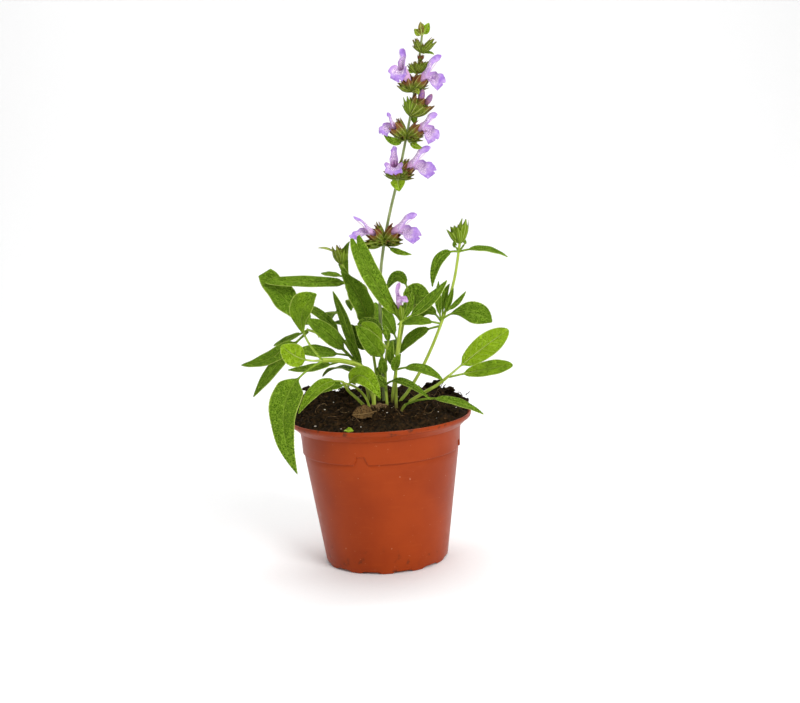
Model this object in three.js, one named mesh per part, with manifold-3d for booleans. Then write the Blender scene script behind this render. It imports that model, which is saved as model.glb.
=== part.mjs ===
// Potted sage: a leafy young sage plant with one flower spike, in a round plastic nursery pot
// filled with peat. Millimetres, +Z up. The origin is the centre of the pot's foot, on the
// surface that the pot stands on, and -Y is the side that the plant shows to the viewer.

import * as THREE from 'three';
import { mergeVertices } from 'three/addons/utils/BufferGeometryUtils.js';
import Module from 'manifold-3d';

const wasm = await Module();
wasm.setup();

// Pot sizes
const POT_HEIGHT = 113;
const RIM_RADIUS = 70;
const LIP_FOOT = 104.5;
const LIP_BEAD = 109.5;
const LIP_ROUND = 1;
const LIP_WALL = 2.2;
const COLLAR_FLARE = 1.2;
const STEP_HEIGHT = 86.5;
const STEP_RADIUS = 59.4;
const STEP_DEPTH = 1.0;
const BASE_RADIUS = 46.9;
const WALL = 1.5;
const FOOT_HEIGHT = 1.6;
const FOOT_WIDTH = 2.6;
const FOOT_COUNT = 12;
const CENTRE_FOOT_RADIUS = 8;
const FLOOR = 1.6;
const DRAIN_COUNT = 8;
const DRAIN_RADIUS = 4;
const DRAIN_CIRCLE = 36;
const DRAIN_SIDES = 6;
const NOTCH_COUNT = 4;
const NOTCH_TURN = -104;
const NOTCH_FOOT = 10;
const NOTCH_TOP = 6;
const NOTCH_HEIGHT = 6;
const ROUND_SIDES = 28;

// Peat sizes
const GAP = 0.35;
const HOLE_GAP = 0.7;
const PEAT_EDGE = 67.5;
const PEAT_EDGE_HEIGHT = 112;
const PEAT_DOME = 1.5;
const PEAT_TILT = 6;
const PEAT_HEAPS = [
  { x: -56, y: 20, height: 9, spread: 500 },
  { x: 46, y: 36, height: 3, spread: 300 },
];
const PEAT_LUMP = 1.3;
const PEAT_FALL = 0.9;
const PEAT_RINGS = [0.3, 0.6, 0.9, 1];
const ROOT_DEPTH = 16;

// The plant leans back a little and stands a little off the pot's middle
const PLANT_LEAN = 2.32;
const PLANT_SHIFT = [1.0, 3.8, -2.1];

// Blade sizes, for leaves and petals alike
const RIB_THICKNESS = 1.0;
const EDGE_THICKNESS = 0.64;
const PETIOLE_WIDTH = 2.0;
const CRENATION = 0.045;
const TIP_WIDTH = 0.9;

// Stem and flower sizes
const STEM_SIDES = 4;
const STEPS_PER_POINT = 2;
const CALYX_LENGTH = 9;
const CALYX_FOOT = { radius: 0.7, height: 0 };
const CALYX_BELLY = { radius: 2.4, height: 4 };
const CALYX_NOTCH = { radius: 3.4, height: 7.5 };
const CALYX_TOOTH = { radius: 3.9, height: 11 };
const CALYX_HOLLOW = { radius: 0, height: 3 };
const TEETH = 5;
const TUBE_SIDES = 6;
const TUBE_SEAT = { radius: 0.6, height: 5.3 };
const TUBE_WAIST = { radius: 1.6, height: 7.5 };
const TUBE_MOUTH = { radius: 2.3, height: 11 };
const THROAT_RADIUS = 2.9;
const THROAT_SHARE = 0.36;
const LIP_ROOT = 1.5;
const ROLL = 0.8;

const SPIKE_GREEN = 0x70803c;
const LEAF_GREEN = 0x5f9a26;
const PALE_GREEN = 0x8fb44a;
const DARK_GREEN = 0x4b7a2a;
const VIOLET = 0xa183dc;
const PINK = 0xc79be0;

const up = new THREE.Vector3(0, 0, 1);
const viewer = new THREE.Vector3(0, -1, 0);
const plantPlace = new THREE.Matrix4().makeRotationX(rad(PLANT_LEAN)).setPosition(...PLANT_SHIFT);

function vec(list) {
  return new THREE.Vector3(...list);
}

function rad(degrees) {
  return THREE.MathUtils.degToRad(degrees);
}

// Joining and cutting

function solidOf(geometry) {
  const bare = geometry.clone();
  bare.deleteAttribute('normal');
  bare.deleteAttribute('uv');
  const merged = mergeVertices(bare, 1e-4);
  return new wasm.Manifold(new wasm.Mesh({
    numProp: 3,
    vertProperties: new Float32Array(merged.attributes.position.array),
    triVerts: new Uint32Array(merged.index.array),
  }));
}

function geometryOf(solid) {
  const mesh = solid.getMesh();
  const geometry = new THREE.BufferGeometry();
  geometry.setAttribute('position', new THREE.BufferAttribute(mesh.vertProperties, 3));
  geometry.setIndex(new THREE.BufferAttribute(mesh.triVerts, 1));
  return geometry;
}

function joined(solids) {
  return solids.reduce((whole, piece) => whole.add(piece));
}

// The biggest body of a joined solid, with hollows that the joining sealed filled in.
function mainBody(solid) {
  const bodies = solid.decompose();
  return bodies.reduce((best, body) => (body.volume() > best.volume() ? body : best));
}

// A closed skin over rings that hold the same number of points. The sides that `turned` names
// are split along their other diagonal.
function loft(rings, turned = () => false) {
  const count = rings[0].length;
  const points = rings.flat();
  const faces = [];
  for (let row = 0; row + 1 < rings.length; row += 1) {
    for (let side = 0; side < count; side += 1) {
      const low = row * count + side;
      const lowNext = row * count + ((side + 1) % count);
      const high = low + count;
      const highNext = lowNext + count;
      if (turned(side)) {
        faces.push([low, lowNext, high], [lowNext, highNext, high]);
      } else {
        faces.push([low, lowNext, highNext], [low, highNext, high]);
      }
    }
  }
  const last = points.length - count;
  for (let side = 1; side + 1 < count; side += 1) {
    faces.push([0, side + 1, side], [last, last + side, last + side + 1]);
  }
  return outward(points, faces);
}

// A geometry of the given faces, turned inside out if its volume is negative.
function outward(points, faces) {
  let volume = 0;
  for (const [a, b, c] of faces) {
    volume += points[a].dot(points[b].clone().cross(points[c]));
  }
  const ordered = volume < 0 ? faces.map(([a, b, c]) => [a, c, b]) : faces;
  const geometry = new THREE.BufferGeometry().setFromPoints(points);
  geometry.setIndex(ordered.flat());
  return geometry;
}

// Leaves, bracts and petals

// How wide a blade is at `along`, from 0 where the stalk ends to 1 at the tip.
function sageOutline(along) {
  return Math.pow(Math.sin(Math.PI * Math.pow(along, 0.82)), 0.78);
}

function roundOutline(along) {
  return Math.pow(Math.sin(Math.PI * Math.pow(along, 0.95)), 0.6);
}

// Broadest near its foot.
function heartOutline(along) {
  return Math.pow(Math.sin(Math.PI * Math.pow(along, 0.6)), 0.75);
}

// Broadest past the middle.
function spadeOutline(along) {
  return Math.pow(Math.sin(Math.PI * Math.pow(along, 1.5)), 0.85);
}

// A tip that ends nearly as broad as the blade.
function bluntOutline(along) {
  return Math.pow(Math.sin(Math.PI * Math.pow(0.86 * along, 0.9)), 0.6);
}

// Both edges run side by side for most of the way.
function strapOutline(along) {
  return Math.pow(Math.sin(Math.PI * Math.pow(along, 0.85)), 0.4);
}

// Narrow at its foot, with broad shoulders and a long point.
function spearOutline(along) {
  return heartOutline(along) * THREE.MathUtils.smoothstep(along, 0, 0.2);
}

function hoodOutline(along) {
  return 0.25 + 0.75 * Math.pow(Math.sin(Math.PI * Math.pow(along, 1.7)), 0.6);
}

// A lower lip: two side lobes near its root and a broad middle lobe at its end.
function lipOutline(along) {
  return 0.3 + 0.7 * Math.abs(Math.sin(2 * Math.PI * Math.pow(along, 0.8)));
}

// One thin blade along a rib that starts at `from`, passes `through` halfway and ends at `tip`.
// `face` is the way its upper side looks. `fold` lifts both edges towards that side, `wave`
// ripples them, and `petiole` is the share of the rib that is bare stalk.
function blade({
  from, through, tip, width, face, petiole = 0.16, fold = 0.18, wave = 0, steps = 5,
  outline = sageOutline, stalk = PETIOLE_WIDTH, crenation = CRENATION,
}) {
  const start = vec(from);
  const end = vec(tip);
  const control = vec(through).multiplyScalar(2).sub(start.clone().add(end).multiplyScalar(0.5));
  const rib = new THREE.QuadraticBezierCurve3(start, control, end);
  const bareStations = Math.ceil(petiole / 0.25);
  const stations = [];
  for (let bare = 0; bare < bareStations; bare += 1) {
    stations.push({ at: (petiole * bare) / bareStations, half: stalk / 2 });
  }
  for (let step = 0; step <= steps; step += 1) {
    const along = step / steps;
    const teeth = 1 + crenation * (step % 2 === 0 ? -1 : 1);
    const least = step === 0 ? stalk : TIP_WIDTH;
    const half = Math.max(least, width * outline(along) * teeth) / 2;
    stations.push({ at: petiole + (1 - petiole) * along, half, lift: wave * Math.sin(step * 1.9) });
  }
  const rings = stations.map(({ at, half, lift = 0 }) => {
    const centre = rib.getPoint(at);
    const tangent = rib.getTangent(at);
    const normal = vec(face).addScaledVector(tangent, -tangent.dot(vec(face))).normalize();
    const across = tangent.clone().cross(normal);
    const bare = half <= stalk / 2 && at < 0.5;
    const ribHalf = bare ? stalk * 0.45 : RIB_THICKNESS / 2;
    const edgeHalf = EDGE_THICKNESS / 2;
    const rise = bare ? 0 : fold * half;
    const point = (side, height) => centre.clone()
      .addScaledVector(across, side * half)
      .addScaledVector(normal, height);
    return [
      point(-1, rise + lift + edgeHalf),
      point(0, ribHalf),
      point(1, rise - lift + edgeHalf),
      point(1, rise - lift - edgeHalf),
      point(0, -ribHalf),
      point(-1, rise + lift - edgeHalf),
    ];
  });
  return loft(rings, (side) => side === 3 || side === 4);
}

function leaf(from, through, tip, width, face, more = {}) {
  return { from, through, tip, width, face, ...more };
}

// Stems

function stem(route, radius) {
  const path = new THREE.CatmullRomCurve3(route.map(vec), false, 'centripetal');
  const section = new THREE.Shape();
  for (let side = 0; side < STEM_SIDES; side += 1) {
    const turn = (side / STEM_SIDES) * 2 * Math.PI;
    const x = radius * Math.cos(turn);
    const y = radius * Math.sin(turn);
    if (side === 0) {
      section.moveTo(x, y);
    } else {
      section.lineTo(x, y);
    }
  }
  section.closePath();
  const steps = (route.length - 1) * STEPS_PER_POINT;
  return new THREE.ExtrudeGeometry(section, { steps, bevelEnabled: false, extrudePath: path });
}

// A stem's route with its root end added, straight down in the peat.
function rooted(route) {
  const [x, y, z] = route[0];
  return [[x, y, z - ROOT_DEPTH], ...route];
}

// Flowers

// Two directions at right angles to an axis, the first as near to `towards` as it can be.
function crossFrame(axis, towards) {
  const first = towards.clone().addScaledVector(axis, -axis.dot(towards)).normalize();
  return [first, axis.clone().cross(first)];
}

// A green cup of five pointed teeth from `base` to `mouth`, open at its mouth. `girth` is
// under 1 for the slender cup of a closed bud.
function calyx(base, mouth, girth = 1) {
  const axis = vec(mouth).sub(vec(base));
  const scale = axis.length() / CALYX_LENGTH;
  axis.normalize();
  const [right, front] = crossFrame(axis, Math.abs(axis.z) > 0.95 ? new THREE.Vector3(1, 0, 0) : up);
  const place = (turn, { radius, height }) => vec(base)
    .addScaledVector(axis, height * scale)
    .addScaledVector(right, radius * girth * scale * Math.cos(turn))
    .addScaledVector(front, radius * girth * scale * Math.sin(turn));
  const points = [];
  for (let side = 0; side < TEETH; side += 1) {
    const turn = (2 * Math.PI * side) / TEETH;
    const between = turn + Math.PI / TEETH;
    points.push(place(turn, CALYX_FOOT), place(turn, CALYX_BELLY));
    points.push(place(turn, CALYX_TOOTH), place(between, CALYX_NOTCH));
  }
  points.push(place(0, CALYX_HOLLOW));
  const hollow = points.length - 1;
  const [FOOT, BELLY, TOOTH, NOTCH] = [0, 1, 2, 3];
  const index = (side, which) => (side % TEETH) * 4 + which;
  const faces = [
    [index(0, FOOT), index(2, FOOT), index(1, FOOT)],
    [index(0, FOOT), index(3, FOOT), index(2, FOOT)],
    [index(0, FOOT), index(4, FOOT), index(3, FOOT)],
  ];
  for (let side = 0; side < TEETH; side += 1) {
    const next = side + 1;
    faces.push(
      [index(side, FOOT), index(next, FOOT), index(next, BELLY)],
      [index(side, FOOT), index(next, BELLY), index(side, BELLY)],
      [index(side, BELLY), index(side, NOTCH), index(side, TOOTH)],
      [index(side, BELLY), index(next, BELLY), index(side, NOTCH)],
      [index(next, BELLY), index(next, TOOTH), index(side, NOTCH)],
      [index(side, TOOTH), index(side, NOTCH), hollow],
      [index(side, NOTCH), index(next, TOOTH), hollow],
    );
  }
  return outward(points, faces);
}

// A violet two-lipped corolla that sits in the calyx from `base` to `mouth`. Its hooded upper
// lip ends at `upper`, and the broad middle lobe of its lower lip ends at `lower`. Both lips
// are rolled a little towards the viewer.
function corolla({ base, mouth, upper, lower, lip = 10 }) {
  const axis = vec(mouth).sub(vec(base));
  const scale = axis.length() / CALYX_LENGTH;
  axis.normalize();
  const inside = ({ height }) => vec(base).addScaledVector(axis, height * scale);
  const collar = inside(TUBE_MOUTH);
  const ends = vec(upper).add(vec(lower)).multiplyScalar(0.5);
  const throat = collar.clone().lerp(ends, THROAT_SHARE);
  const onward = ends.clone().sub(collar).normalize();
  const rise = vec(upper).sub(vec(lower)).normalize();
  const ring = (centre, normal, radius) => {
    const [first, second] = crossFrame(normal, rise);
    return Array.from({ length: TUBE_SIDES }, (_, side) => centre.clone()
      .addScaledVector(first, radius * scale * Math.cos((side * 2 * Math.PI) / TUBE_SIDES))
      .addScaledVector(second, radius * scale * Math.sin((side * 2 * Math.PI) / TUBE_SIDES)));
  };
  const tube = loft([
    ring(inside(TUBE_SEAT), axis, TUBE_SEAT.radius),
    ring(inside(TUBE_WAIST), axis, TUBE_WAIST.radius),
    ring(collar, axis.clone().add(onward).normalize(), TUBE_MOUTH.radius),
    ring(throat, onward, THROAT_RADIUS),
  ]);
  const [high] = crossFrame(onward, rise.clone().addScaledVector(viewer, ROLL));
  const petal = (lift, bulge, tip, face, more) => {
    const from = throat.clone().addScaledVector(onward, -LIP_ROOT).addScaledVector(high, lift);
    const through = from.clone().lerp(vec(tip), 0.5).add(bulge);
    return blade({
      from: from.toArray(), through: through.toArray(), tip, face: face.toArray(),
      petiole: 0, crenation: 0, steps: 4, ...more,
    });
  };
  const petals = [
    petal(LIP_ROOT, high.clone().multiplyScalar(1.6), upper, high.clone().negate(), {
      width: lip * 0.5, outline: hoodOutline, fold: 1.3,
    }),
    petal(-LIP_ROOT, onward.clone().multiplyScalar(1.8), lower, high, {
      width: lip * 1.1, outline: lipOutline, fold: -0.35, steps: 5,
    }),
  ];
  return mainBody(joined([tube, ...petals].map(solidOf)));
}

// The flower spike: a stem that thins at each whorl, and whorls of calyces with two small
// bracts under them.

const SPIKE_ROUTES = [
  { radius: 1.7, route: [[3, 5, 122], [3, 6, 171], [5, 7, 218], [9.5, 8, 245.5]] },
  { radius: 1.4, route: [[9, 8, 244], [15, 7, 268], [22.3, 6, 293], [30, 5, 323]] },
  { radius: 1.1, route: [[29.5, 5, 321], [33.7, 5, 338], [40.3, 5, 368.5], [45.2, 5, 395.8]] },
];

// Where each whorl sits on the stem, and the ends of its calyces' teeth with each calyx's girth.
const WHORLS = [
  {
    at: [9.5, 8, 245.5],
    tips: [
      [24.3, -1, 246.5, 0.7], [-7.5, 0, 244.7, 0.7], [14, -5, 245, 0.6], [4, 21, 248, 0.75],
      [17, 19, 248, 0.75],
    ],
  },
  {
    at: [22.3, 6, 293],
    tips: [
      [27.7, 1, 308.3, 0.6], [31, -4, 301, 0.55], [12, 15, 298, 0.75], [20, 22, 299, 0.75],
      [32, 18, 298, 0.75],
    ],
  },
  {
    at: [30, 5, 322],
    tips: [
      [38, -4, 319.5, 0.55], [25.5, -4, 322, 0.55], [22, 18, 326, 0.75], [33, 20, 326, 0.75],
      [42, 16, 325, 0.7],
    ],
  },
  {
    at: [33.7, 5, 338],
    tips: [
      [28.4, 4, 348, 0.55], [35, -1, 352.5, 0.62], [49.5, 2, 346.8, 0.6], [32, 14, 351, 0.7],
      [40, 16, 352, 0.7],
    ],
  },
  {
    at: [35.5, 5, 355.5],
    tips: [
      [24.5, 2, 362.6, 0.72], [49.8, 4, 359.3, 0.4], [30, 16, 364, 0.75], [41, 17, 365, 0.75],
    ],
  },
  {
    at: [40.3, 5, 368.5],
    tips: [
      [33.2, 4, 376.4, 0.7], [43.9, 0, 377.6, 0.6], [50.4, 3, 377.2, 0.68], [46, 12, 377, 0.7],
    ],
  },
  {
    at: [44.2, 5, 382.9],
    tips: [[39, 4, 394.6, 0.62], [55.2, 3, 393, 0.6], [44, 11, 392, 0.62]],
  },
];

const FLOWERS = [
  { whorl: 0, mouth: [18.6, 2, 255], upper: [35, 0, 265.6], lower: [37, -2, 248.9] },
  { whorl: 0, mouth: [0.5, 3, 254.5], upper: [-13, 1, 266], lower: [-16, 0, 252] },
  { whorl: 1, mouth: [21, -1, 300], upper: [19.5, -12, 316.8], lower: [19.2, -17, 296.6] },
  { whorl: 1, mouth: [31.6, 2.6, 302.2], upper: [47.5, 0, 314.6], lower: [50.5, -1, 296.5] },
  { whorl: 2, mouth: [20.5, 2, 332], upper: [16.5, 0, 341], lower: [11.2, -1, 326], lip: 8 },
  { whorl: 2, mouth: [41.2, 2.3, 329.5], upper: [53.6, 0, 338], lower: [52, -1, 319.5] },
  { whorl: 4, mouth: [33, 1, 365.6], upper: [28, -6, 385.8], lower: [27.6, -9, 362.6] },
  { whorl: 4, mouth: [44.5, 2.5, 365.5], upper: [58.4, 0, 380.2], lower: [59.5, -1, 359.8] },
];

// A flower that has not opened, just showing out of its calyx.
const FLOWER_BUDS = [
  { whorl: 3, mouth: [42, 0, 350.3], upper: [44.2, -1, 357.5], lower: [46, -2, 354], lip: 4 },
];

const SPIKE_BLADES = [
  leaf([10, 8, 245], [0, 4, 243], [-7, 2, 248], 5, [0, -0.8, 0.6], { steps: 3 }),
  leaf([10.5, 7, 244.5], [19, 1, 238.5], [29.5, -3, 236.5], 5, [0, -0.7, 0.7], { steps: 3 }),
  leaf([22.3, 5, 292.5], [22, -6, 289.5], [22.6, -9, 284], 10, [0, -1, 0.3], {
    steps: 3, outline: heartOutline,
  }),
  leaf([22.3, 6, 293], [22, 15, 291], [21, 19, 284], 8, [0, 1, 0.4], { steps: 3, outline: heartOutline }),
  leaf([30, 5, 320.5], [21, 3, 319], [14, 3, 322.5], 5, [0.2, -0.9, 0.4], { steps: 3 }),
  leaf([30, 5, 320.5], [36, 1, 316], [41.4, 1, 314.6], 5, [0.1, -0.8, 0.6], { steps: 3 }),
  leaf([33.7, 5, 338], [36, 13, 337], [37, 17, 331], 6, [0, 0.8, 0.6], { steps: 3 }),
  leaf([35.5, 5, 355.5], [38, -2, 357], [40, -6, 354], 4, [0, -0.9, 0.4], { steps: 3 }),
  leaf([40.3, 5, 368.5], [34, 7, 370], [29, 8, 367], 4, [-0.2, 0.2, 0.9], { steps: 3 }),
  leaf([45.1, 5, 394], [42.4, 4, 397.3], [39.6, 3, 400.2], 5, [-0.3, -1, 0.2], { steps: 3 }),
  leaf([45.2, 5, 394], [47.8, 3.5, 399], [50.6, 3, 404], 5, [0.1, -1, 0.1], { steps: 3 }),
  leaf([45.2, 5, 394], [44.6, 2.5, 400], [44.4, 2.6, 405], 4, [0, -1, 0.1], { steps: 3 }),
  leaf([45.2, 5, 394], [46, 8, 399], [46, 9, 404], 5, [0, 1, 0.1], { steps: 3 }),
];

function spikeFlower(flower) {
  return corolla({ base: WHORLS[flower.whorl].at, ...flower });
}

const FLOWER_SOLIDS = [...FLOWERS, ...FLOWER_BUDS].map(spikeFlower);

function clearOfFlowers(solid) {
  return FLOWER_SOLIDS.every((flower) => flower.intersect(solid).isEmpty());
}

// The open flowers' own calyces, and those of the others that stand clear of the flowers.
function whorlSolids({ at, tips }, order) {
  const here = [...FLOWERS, ...FLOWER_BUDS].filter((flower) => flower.whorl === order);
  const others = tips.map(([x, y, z, girth]) => {
    const mouth = vec(at).lerp(vec([x, y, z]), CALYX_LENGTH / CALYX_TOOTH.height);
    return solidOf(calyx(at, mouth.toArray(), girth));
  });
  return [...here.map(({ mouth }) => solidOf(calyx(at, mouth))), ...others.filter(clearOfFlowers)];
}

function flowerSpike() {
  const [lowest, ...rest] = SPIKE_ROUTES;
  const stems = [{ radius: lowest.radius, route: rooted(lowest.route) }, ...rest];
  return mainBody(joined([
    ...stems.map(({ route, radius }) => solidOf(stem(route, radius))),
    ...WHORLS.flatMap(whorlSolids),
    ...SPIKE_BLADES.map((spec) => solidOf(blade(spec))),
  ]));
}

// Leafy shoots. Each has one or more stems, which start at the peat's surface, the leaves that
// grow from them, and any flower cups at their tips.

const SMALL = { steps: 3 };
const SHOOTS = [
  {
    name: 'tall_shoot',
    colour: LEAF_GREEN,
    stems: [{
      radius: 1.5,
      route: [[14, 7, 120], [22, 8, 130], [35, 10, 150], [50, 14, 181], [61, 17, 212], [67, 20, 241]],
    }],
    leaves: [
      leaf([50, 14, 183], [68.7, 6, 190], [88, 2, 181], 17, [0, -1, 0.25], {
        wave: 0.6, steps: 6, outline: spadeOutline,
      }),
      leaf([49, 14, 180], [32, 8, 184], [16, 2, 183], 10, [0, -0.6, 0.8]),
      leaf([48, 14, 178], [29, 22, 170], [17, 26, 156], 10, [-0.3, -0.8, 0.5]),
      leaf([50, 14, 181], [39, 27, 189], [28, 33, 177], 9, [0, -0.9, 0.4]),
      leaf([50, 14, 182], [48, 9, 198], [49, 7, 214], 5, [0, -1, 0.1], SMALL),
      leaf([51, 14, 184], [53, 21, 199], [58, 24, 209], 5, [0.3, -0.9, 0.1], SMALL),
      leaf([52, 15, 186], [56, 10, 197], [60, 8, 208], 5, [-0.3, -1, 0.1], SMALL),
      leaf([53, 15, 189], [62, 18, 194], [70, 21, 203], 5, [-0.2, -0.6, 0.8], SMALL),
      leaf([66, 19, 234], [51, 14, 230], [44, 10, 209], 9, [-0.4, -0.8, 0.4]),
      leaf([66, 19, 234], [85, 19, 235], [103, 20, 228], 9, [0, -0.4, 1]),
      leaf([66, 19, 235], [63, 14, 239], [63, 12, 244], 4, [-0.2, -0.6, 0.8], { steps: 4 }),
      leaf([66, 19, 235], [70, 24, 238], [71, 27, 243], 4, [0.2, 0.6, 0.8], { steps: 4 }),
    ],
    calyces: [
      [[67, 20, 240], [61, 18, 250], 0.8],
      [[67, 20, 240], [66, 14, 252], 0.7],
      [[67, 20, 240], [71, 22, 256], 0.65],
    ],
  },
  {
    name: 'middle_shoot',
    colour: LEAF_GREEN,
    stems: [{ radius: 1.5, route: [[12, -5, 123], [13, -6, 147], [15, -6, 165], [19, -8, 188]] }],
    leaves: [
      leaf([19, -8, 187], [-1, -21, 224], [-11.5, -28, 254.5], 15, [0.3, -0.9, 0.35], {
        wave: 0.7, steps: 7, outline: bluntOutline,
      }),
      leaf([19, -8, 187], [39, -5, 199], [55, 2, 215], 11, [-0.4, -0.6, 0.6]),
      leaf([19, -8, 186], [26, -9, 198], [28.5, -11, 211], 5, [0.3, -1, 0.1], SMALL),
      leaf([14, -6, 150], [31, -16, 152], [48, -26, 144], 10, [0, -0.5, 0.9]),
      leaf([13, -6, 149], [10, -11, 161], [12, -15, 174], 7, [-0.5, -0.9, 0.2], SMALL),
      leaf([13, -6, 146], [13, -12, 155.6], [17.6, -15, 163.6], 7, [0.2, -1, 0.3], SMALL),
    ],
    calyces: [[[19.5, -8, 188], [17.8, -13.5, 201]]],
  },
  {
    name: 'low_right_shoot',
    colour: PALE_GREEN,
    stems: [{ radius: 1.4, route: [[18, -1, 119], [32, -5, 130], [44, -8, 137], [53, -10, 144]] }],
    leaves: [
      leaf([53, -10, 144], [79, -7, 163], [100, 0, 175], 18, [0.3, -1, 0.4], {
        outline: roundOutline, steps: 8,
      }),
      leaf([53, -10, 143], [80.6, -17, 149], [100.6, -20, 151.8], 13, [0, -0.8, 0.7], {
        outline: roundOutline,
      }),
    ],
  },
  {
    name: 'basal_shoot',
    colour: DARK_GREEN,
    stems: [{ radius: 1.3, route: [[16, -10, 119], [19, -13, 124]] }],
    leaves: [
      leaf([19, -13, 124], [46, -26, 130], [76, -41, 120.5], 9, [0, -0.4, 1], { petiole: 0.4 }),
    ],
  },
  {
    name: 'pale_shoot',
    colour: PALE_GREEN,
    stems: [{
      radius: 1.9,
      route: [[-5, -4, 121], [-5, -4, 139], [-11, -9, 153], [-26, -17, 161], [-41, -25, 164]],
    }],
    leaves: [
      leaf([-41, -25, 164], [-54, -32, 194], [-41, -39, 215.5], 18, [-0.4, -0.9, 0], {
        petiole: 0.3, wave: 0.8, steps: 8, outline: spadeOutline,
      }),
      leaf([-41, -25, 164], [-56, -31.8, 167.5], [-69, -38, 179], 17, [0, -1, 0.4], {
        petiole: 0.38, outline: roundOutline,
      }),
      leaf([-41, -25, 163], [-68.7, -48, 137], [-62, -62, 88], 23, [-0.3, -1, 0.1], {
        petiole: 0.2, wave: 0.5, steps: 9, outline: spearOutline,
      }),
      leaf([-28, -18, 161], [-48, -13, 156], [-68, -10, 155], 9, [0, -0.5, 0.9]),
    ],
  },
  {
    name: 'left_back_shoot',
    colour: LEAF_GREEN,
    stems: [{
      radius: 1.5,
      route: [[-5, 6, 122], [-13, 10, 146], [-25, 14, 162], [-40, 18, 174], [-54, 20, 180]],
    }],
    leaves: [
      leaf([-40, 18, 174], [-66, 14, 202], [-83, 14, 226.5], 20, [0.4, -0.9, 0.5], {
        wave: 0.8, outline: bluntOutline, steps: 7,
      }),
      leaf([-53, 20, 178], [-81, 20, 160], [-106.7, 22, 154.3], 14, [-0.1, -0.7, 0.8], {
        outline: heartOutline,
      }),
      leaf([-53, 20, 179.5], [-69, 30, 171], [-81.5, 32, 166.4], 9, [-0.1, -0.5, 0.9]),
      leaf([-53, 20, 179], [-77.5, 16, 155], [-99, 20, 128.8], 12, [-0.4, -0.8, 0.5]),
      leaf([-19, 12, 156], [-37, 4, 178], [-53, 2, 191], 14, [0.2, -0.9, 0.6]),
      leaf([-13, 10, 146], [-40, 17, 189], [-69, 22, 197], 8, [-0.2, -0.6, 1], {
        petiole: 0.3, outline: heartOutline,
      }),
      leaf([-22, 13, 159], [-45, 4, 165], [-61, 2, 167], 12, [0, -0.7, 0.8]),
      leaf([-13, 10, 147], [-22, 2, 184], [-31, -4, 212], 8.5, [-0.5, -0.9, 0.1], { petiole: 0.2 }),
    ],
  },
  {
    name: 'bud_shoot',
    colour: LEAF_GREEN,
    stems: [{
      radius: 1.4,
      route: [[-1, 12, 122], [-4, 14, 162], [-9, 14, 190], [-16, 13, 211], [-25, 12, 233]],
    }],
    leaves: [
      leaf([-18, 12.5, 215], [-54, 8, 218.7], [-81.5, 5, 220.4], 10, [0, -0.8, 0.7], {
        petiole: 0.03, outline: strapOutline,
      }),
      leaf([-20, 12, 220], [-32.5, 18, 221.7], [-40.4, 24, 222.5], 7, [0, -0.4, 1], SMALL),
      leaf([-6, 14, 178], [-10.5, 0, 203], [-24, -6, 227], 18, [0.4, -1, 0.4], { wave: 0.7, petiole: 0.06 }),
      leaf([-17, 13, 214], [-22, 18, 231], [-17, 21, 246], 7, [-0.3, -1, 0.1], SMALL),
      leaf([-11, 14, 197], [-8, 8, 207], [-8, 5, 215], 6, [0.4, -1, 0.2], SMALL),
      leaf([-6, 14, 172], [-1, 28, 186], [0, 41, 195], 12, [0.3, -0.9, 0.5]),
      leaf([-11, 14, 196], [-17, 34, 199], [-20, 50, 188], 12, [-0.1, -0.2, 1]),
    ],
    calyces: [
      [[-24, 12, 231], [-31, 11, 238], 0.9],
      [[-24, 12, 231], [-20, 9, 239], 0.9],
      [[-25, 12, 232], [-28, 13, 244], 0.9],
    ],
  },
  {
    name: 'lower_left_shoot',
    colour: LEAF_GREEN,
    stems: [
      { radius: 1.4, route: [[-11, -8, 121], [-17, -11, 130], [-23, -14, 137], [-27, -17, 145]] },
      { radius: 1.1, route: [[-8, -12, 119], [-10, -14, 130], [-18, -18, 141], [-26, -17, 144]] },
    ],
    leaves: [
      leaf([-27, -17, 145], [-43, -29, 145], [-60, -40, 128], 11, [-0.4, -0.9, 0.6]),
      leaf([-24, -15, 140], [-12, -27, 151], [1, -36, 135], 16, [0.1, -0.9, 0.6], { petiole: 0.08 }),
      leaf([-25, -15, 141], [-33, -21, 143.5], [-44, -26, 139.5], 9, [0, -0.6, 0.8], SMALL),
    ],
  },
  {
    name: 'centre_shoot',
    colour: LEAF_GREEN,
    stems: [{ radius: 1.4, route: [[5, -5, 122], [5, -4, 143], [6, -4, 157], [9, -5, 175]] }],
    leaves: [
      leaf([6, -4, 155], [-3, -16, 172], [-15, -20, 188], 14, [-0.2, -1, 0.5], { wave: 0.6 }),
      leaf([7, -4, 166], [-2.3, -14, 181], [-10.5, -17, 189], 12, [0.2, -1, 0.5]),
      leaf([8, -4, 170], [8, -9, 178], [5, -11, 187], 5, [0, -1, 0.2], SMALL),
      leaf([9, -5, 173], [-3, -4, 186], [-14, -6, 186], 9, [0, -0.7, 0.8], SMALL),
      leaf([5, -4, 144], [3.6, -12, 153.8], [2.6, -15, 162], 7, [0, -1, 0.3], SMALL),
      leaf([5, -4, 138], [18, -18, 143], [38, -30, 131], 7, [0, -0.6, 0.9]),
    ],
  },
  {
    name: 'back_right_shoot',
    colour: DARK_GREEN,
    stems: [{ radius: 1.3, route: [[9, 15, 122], [16, 23, 158], [21, 28, 180], [27, 31, 202]] }],
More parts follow.
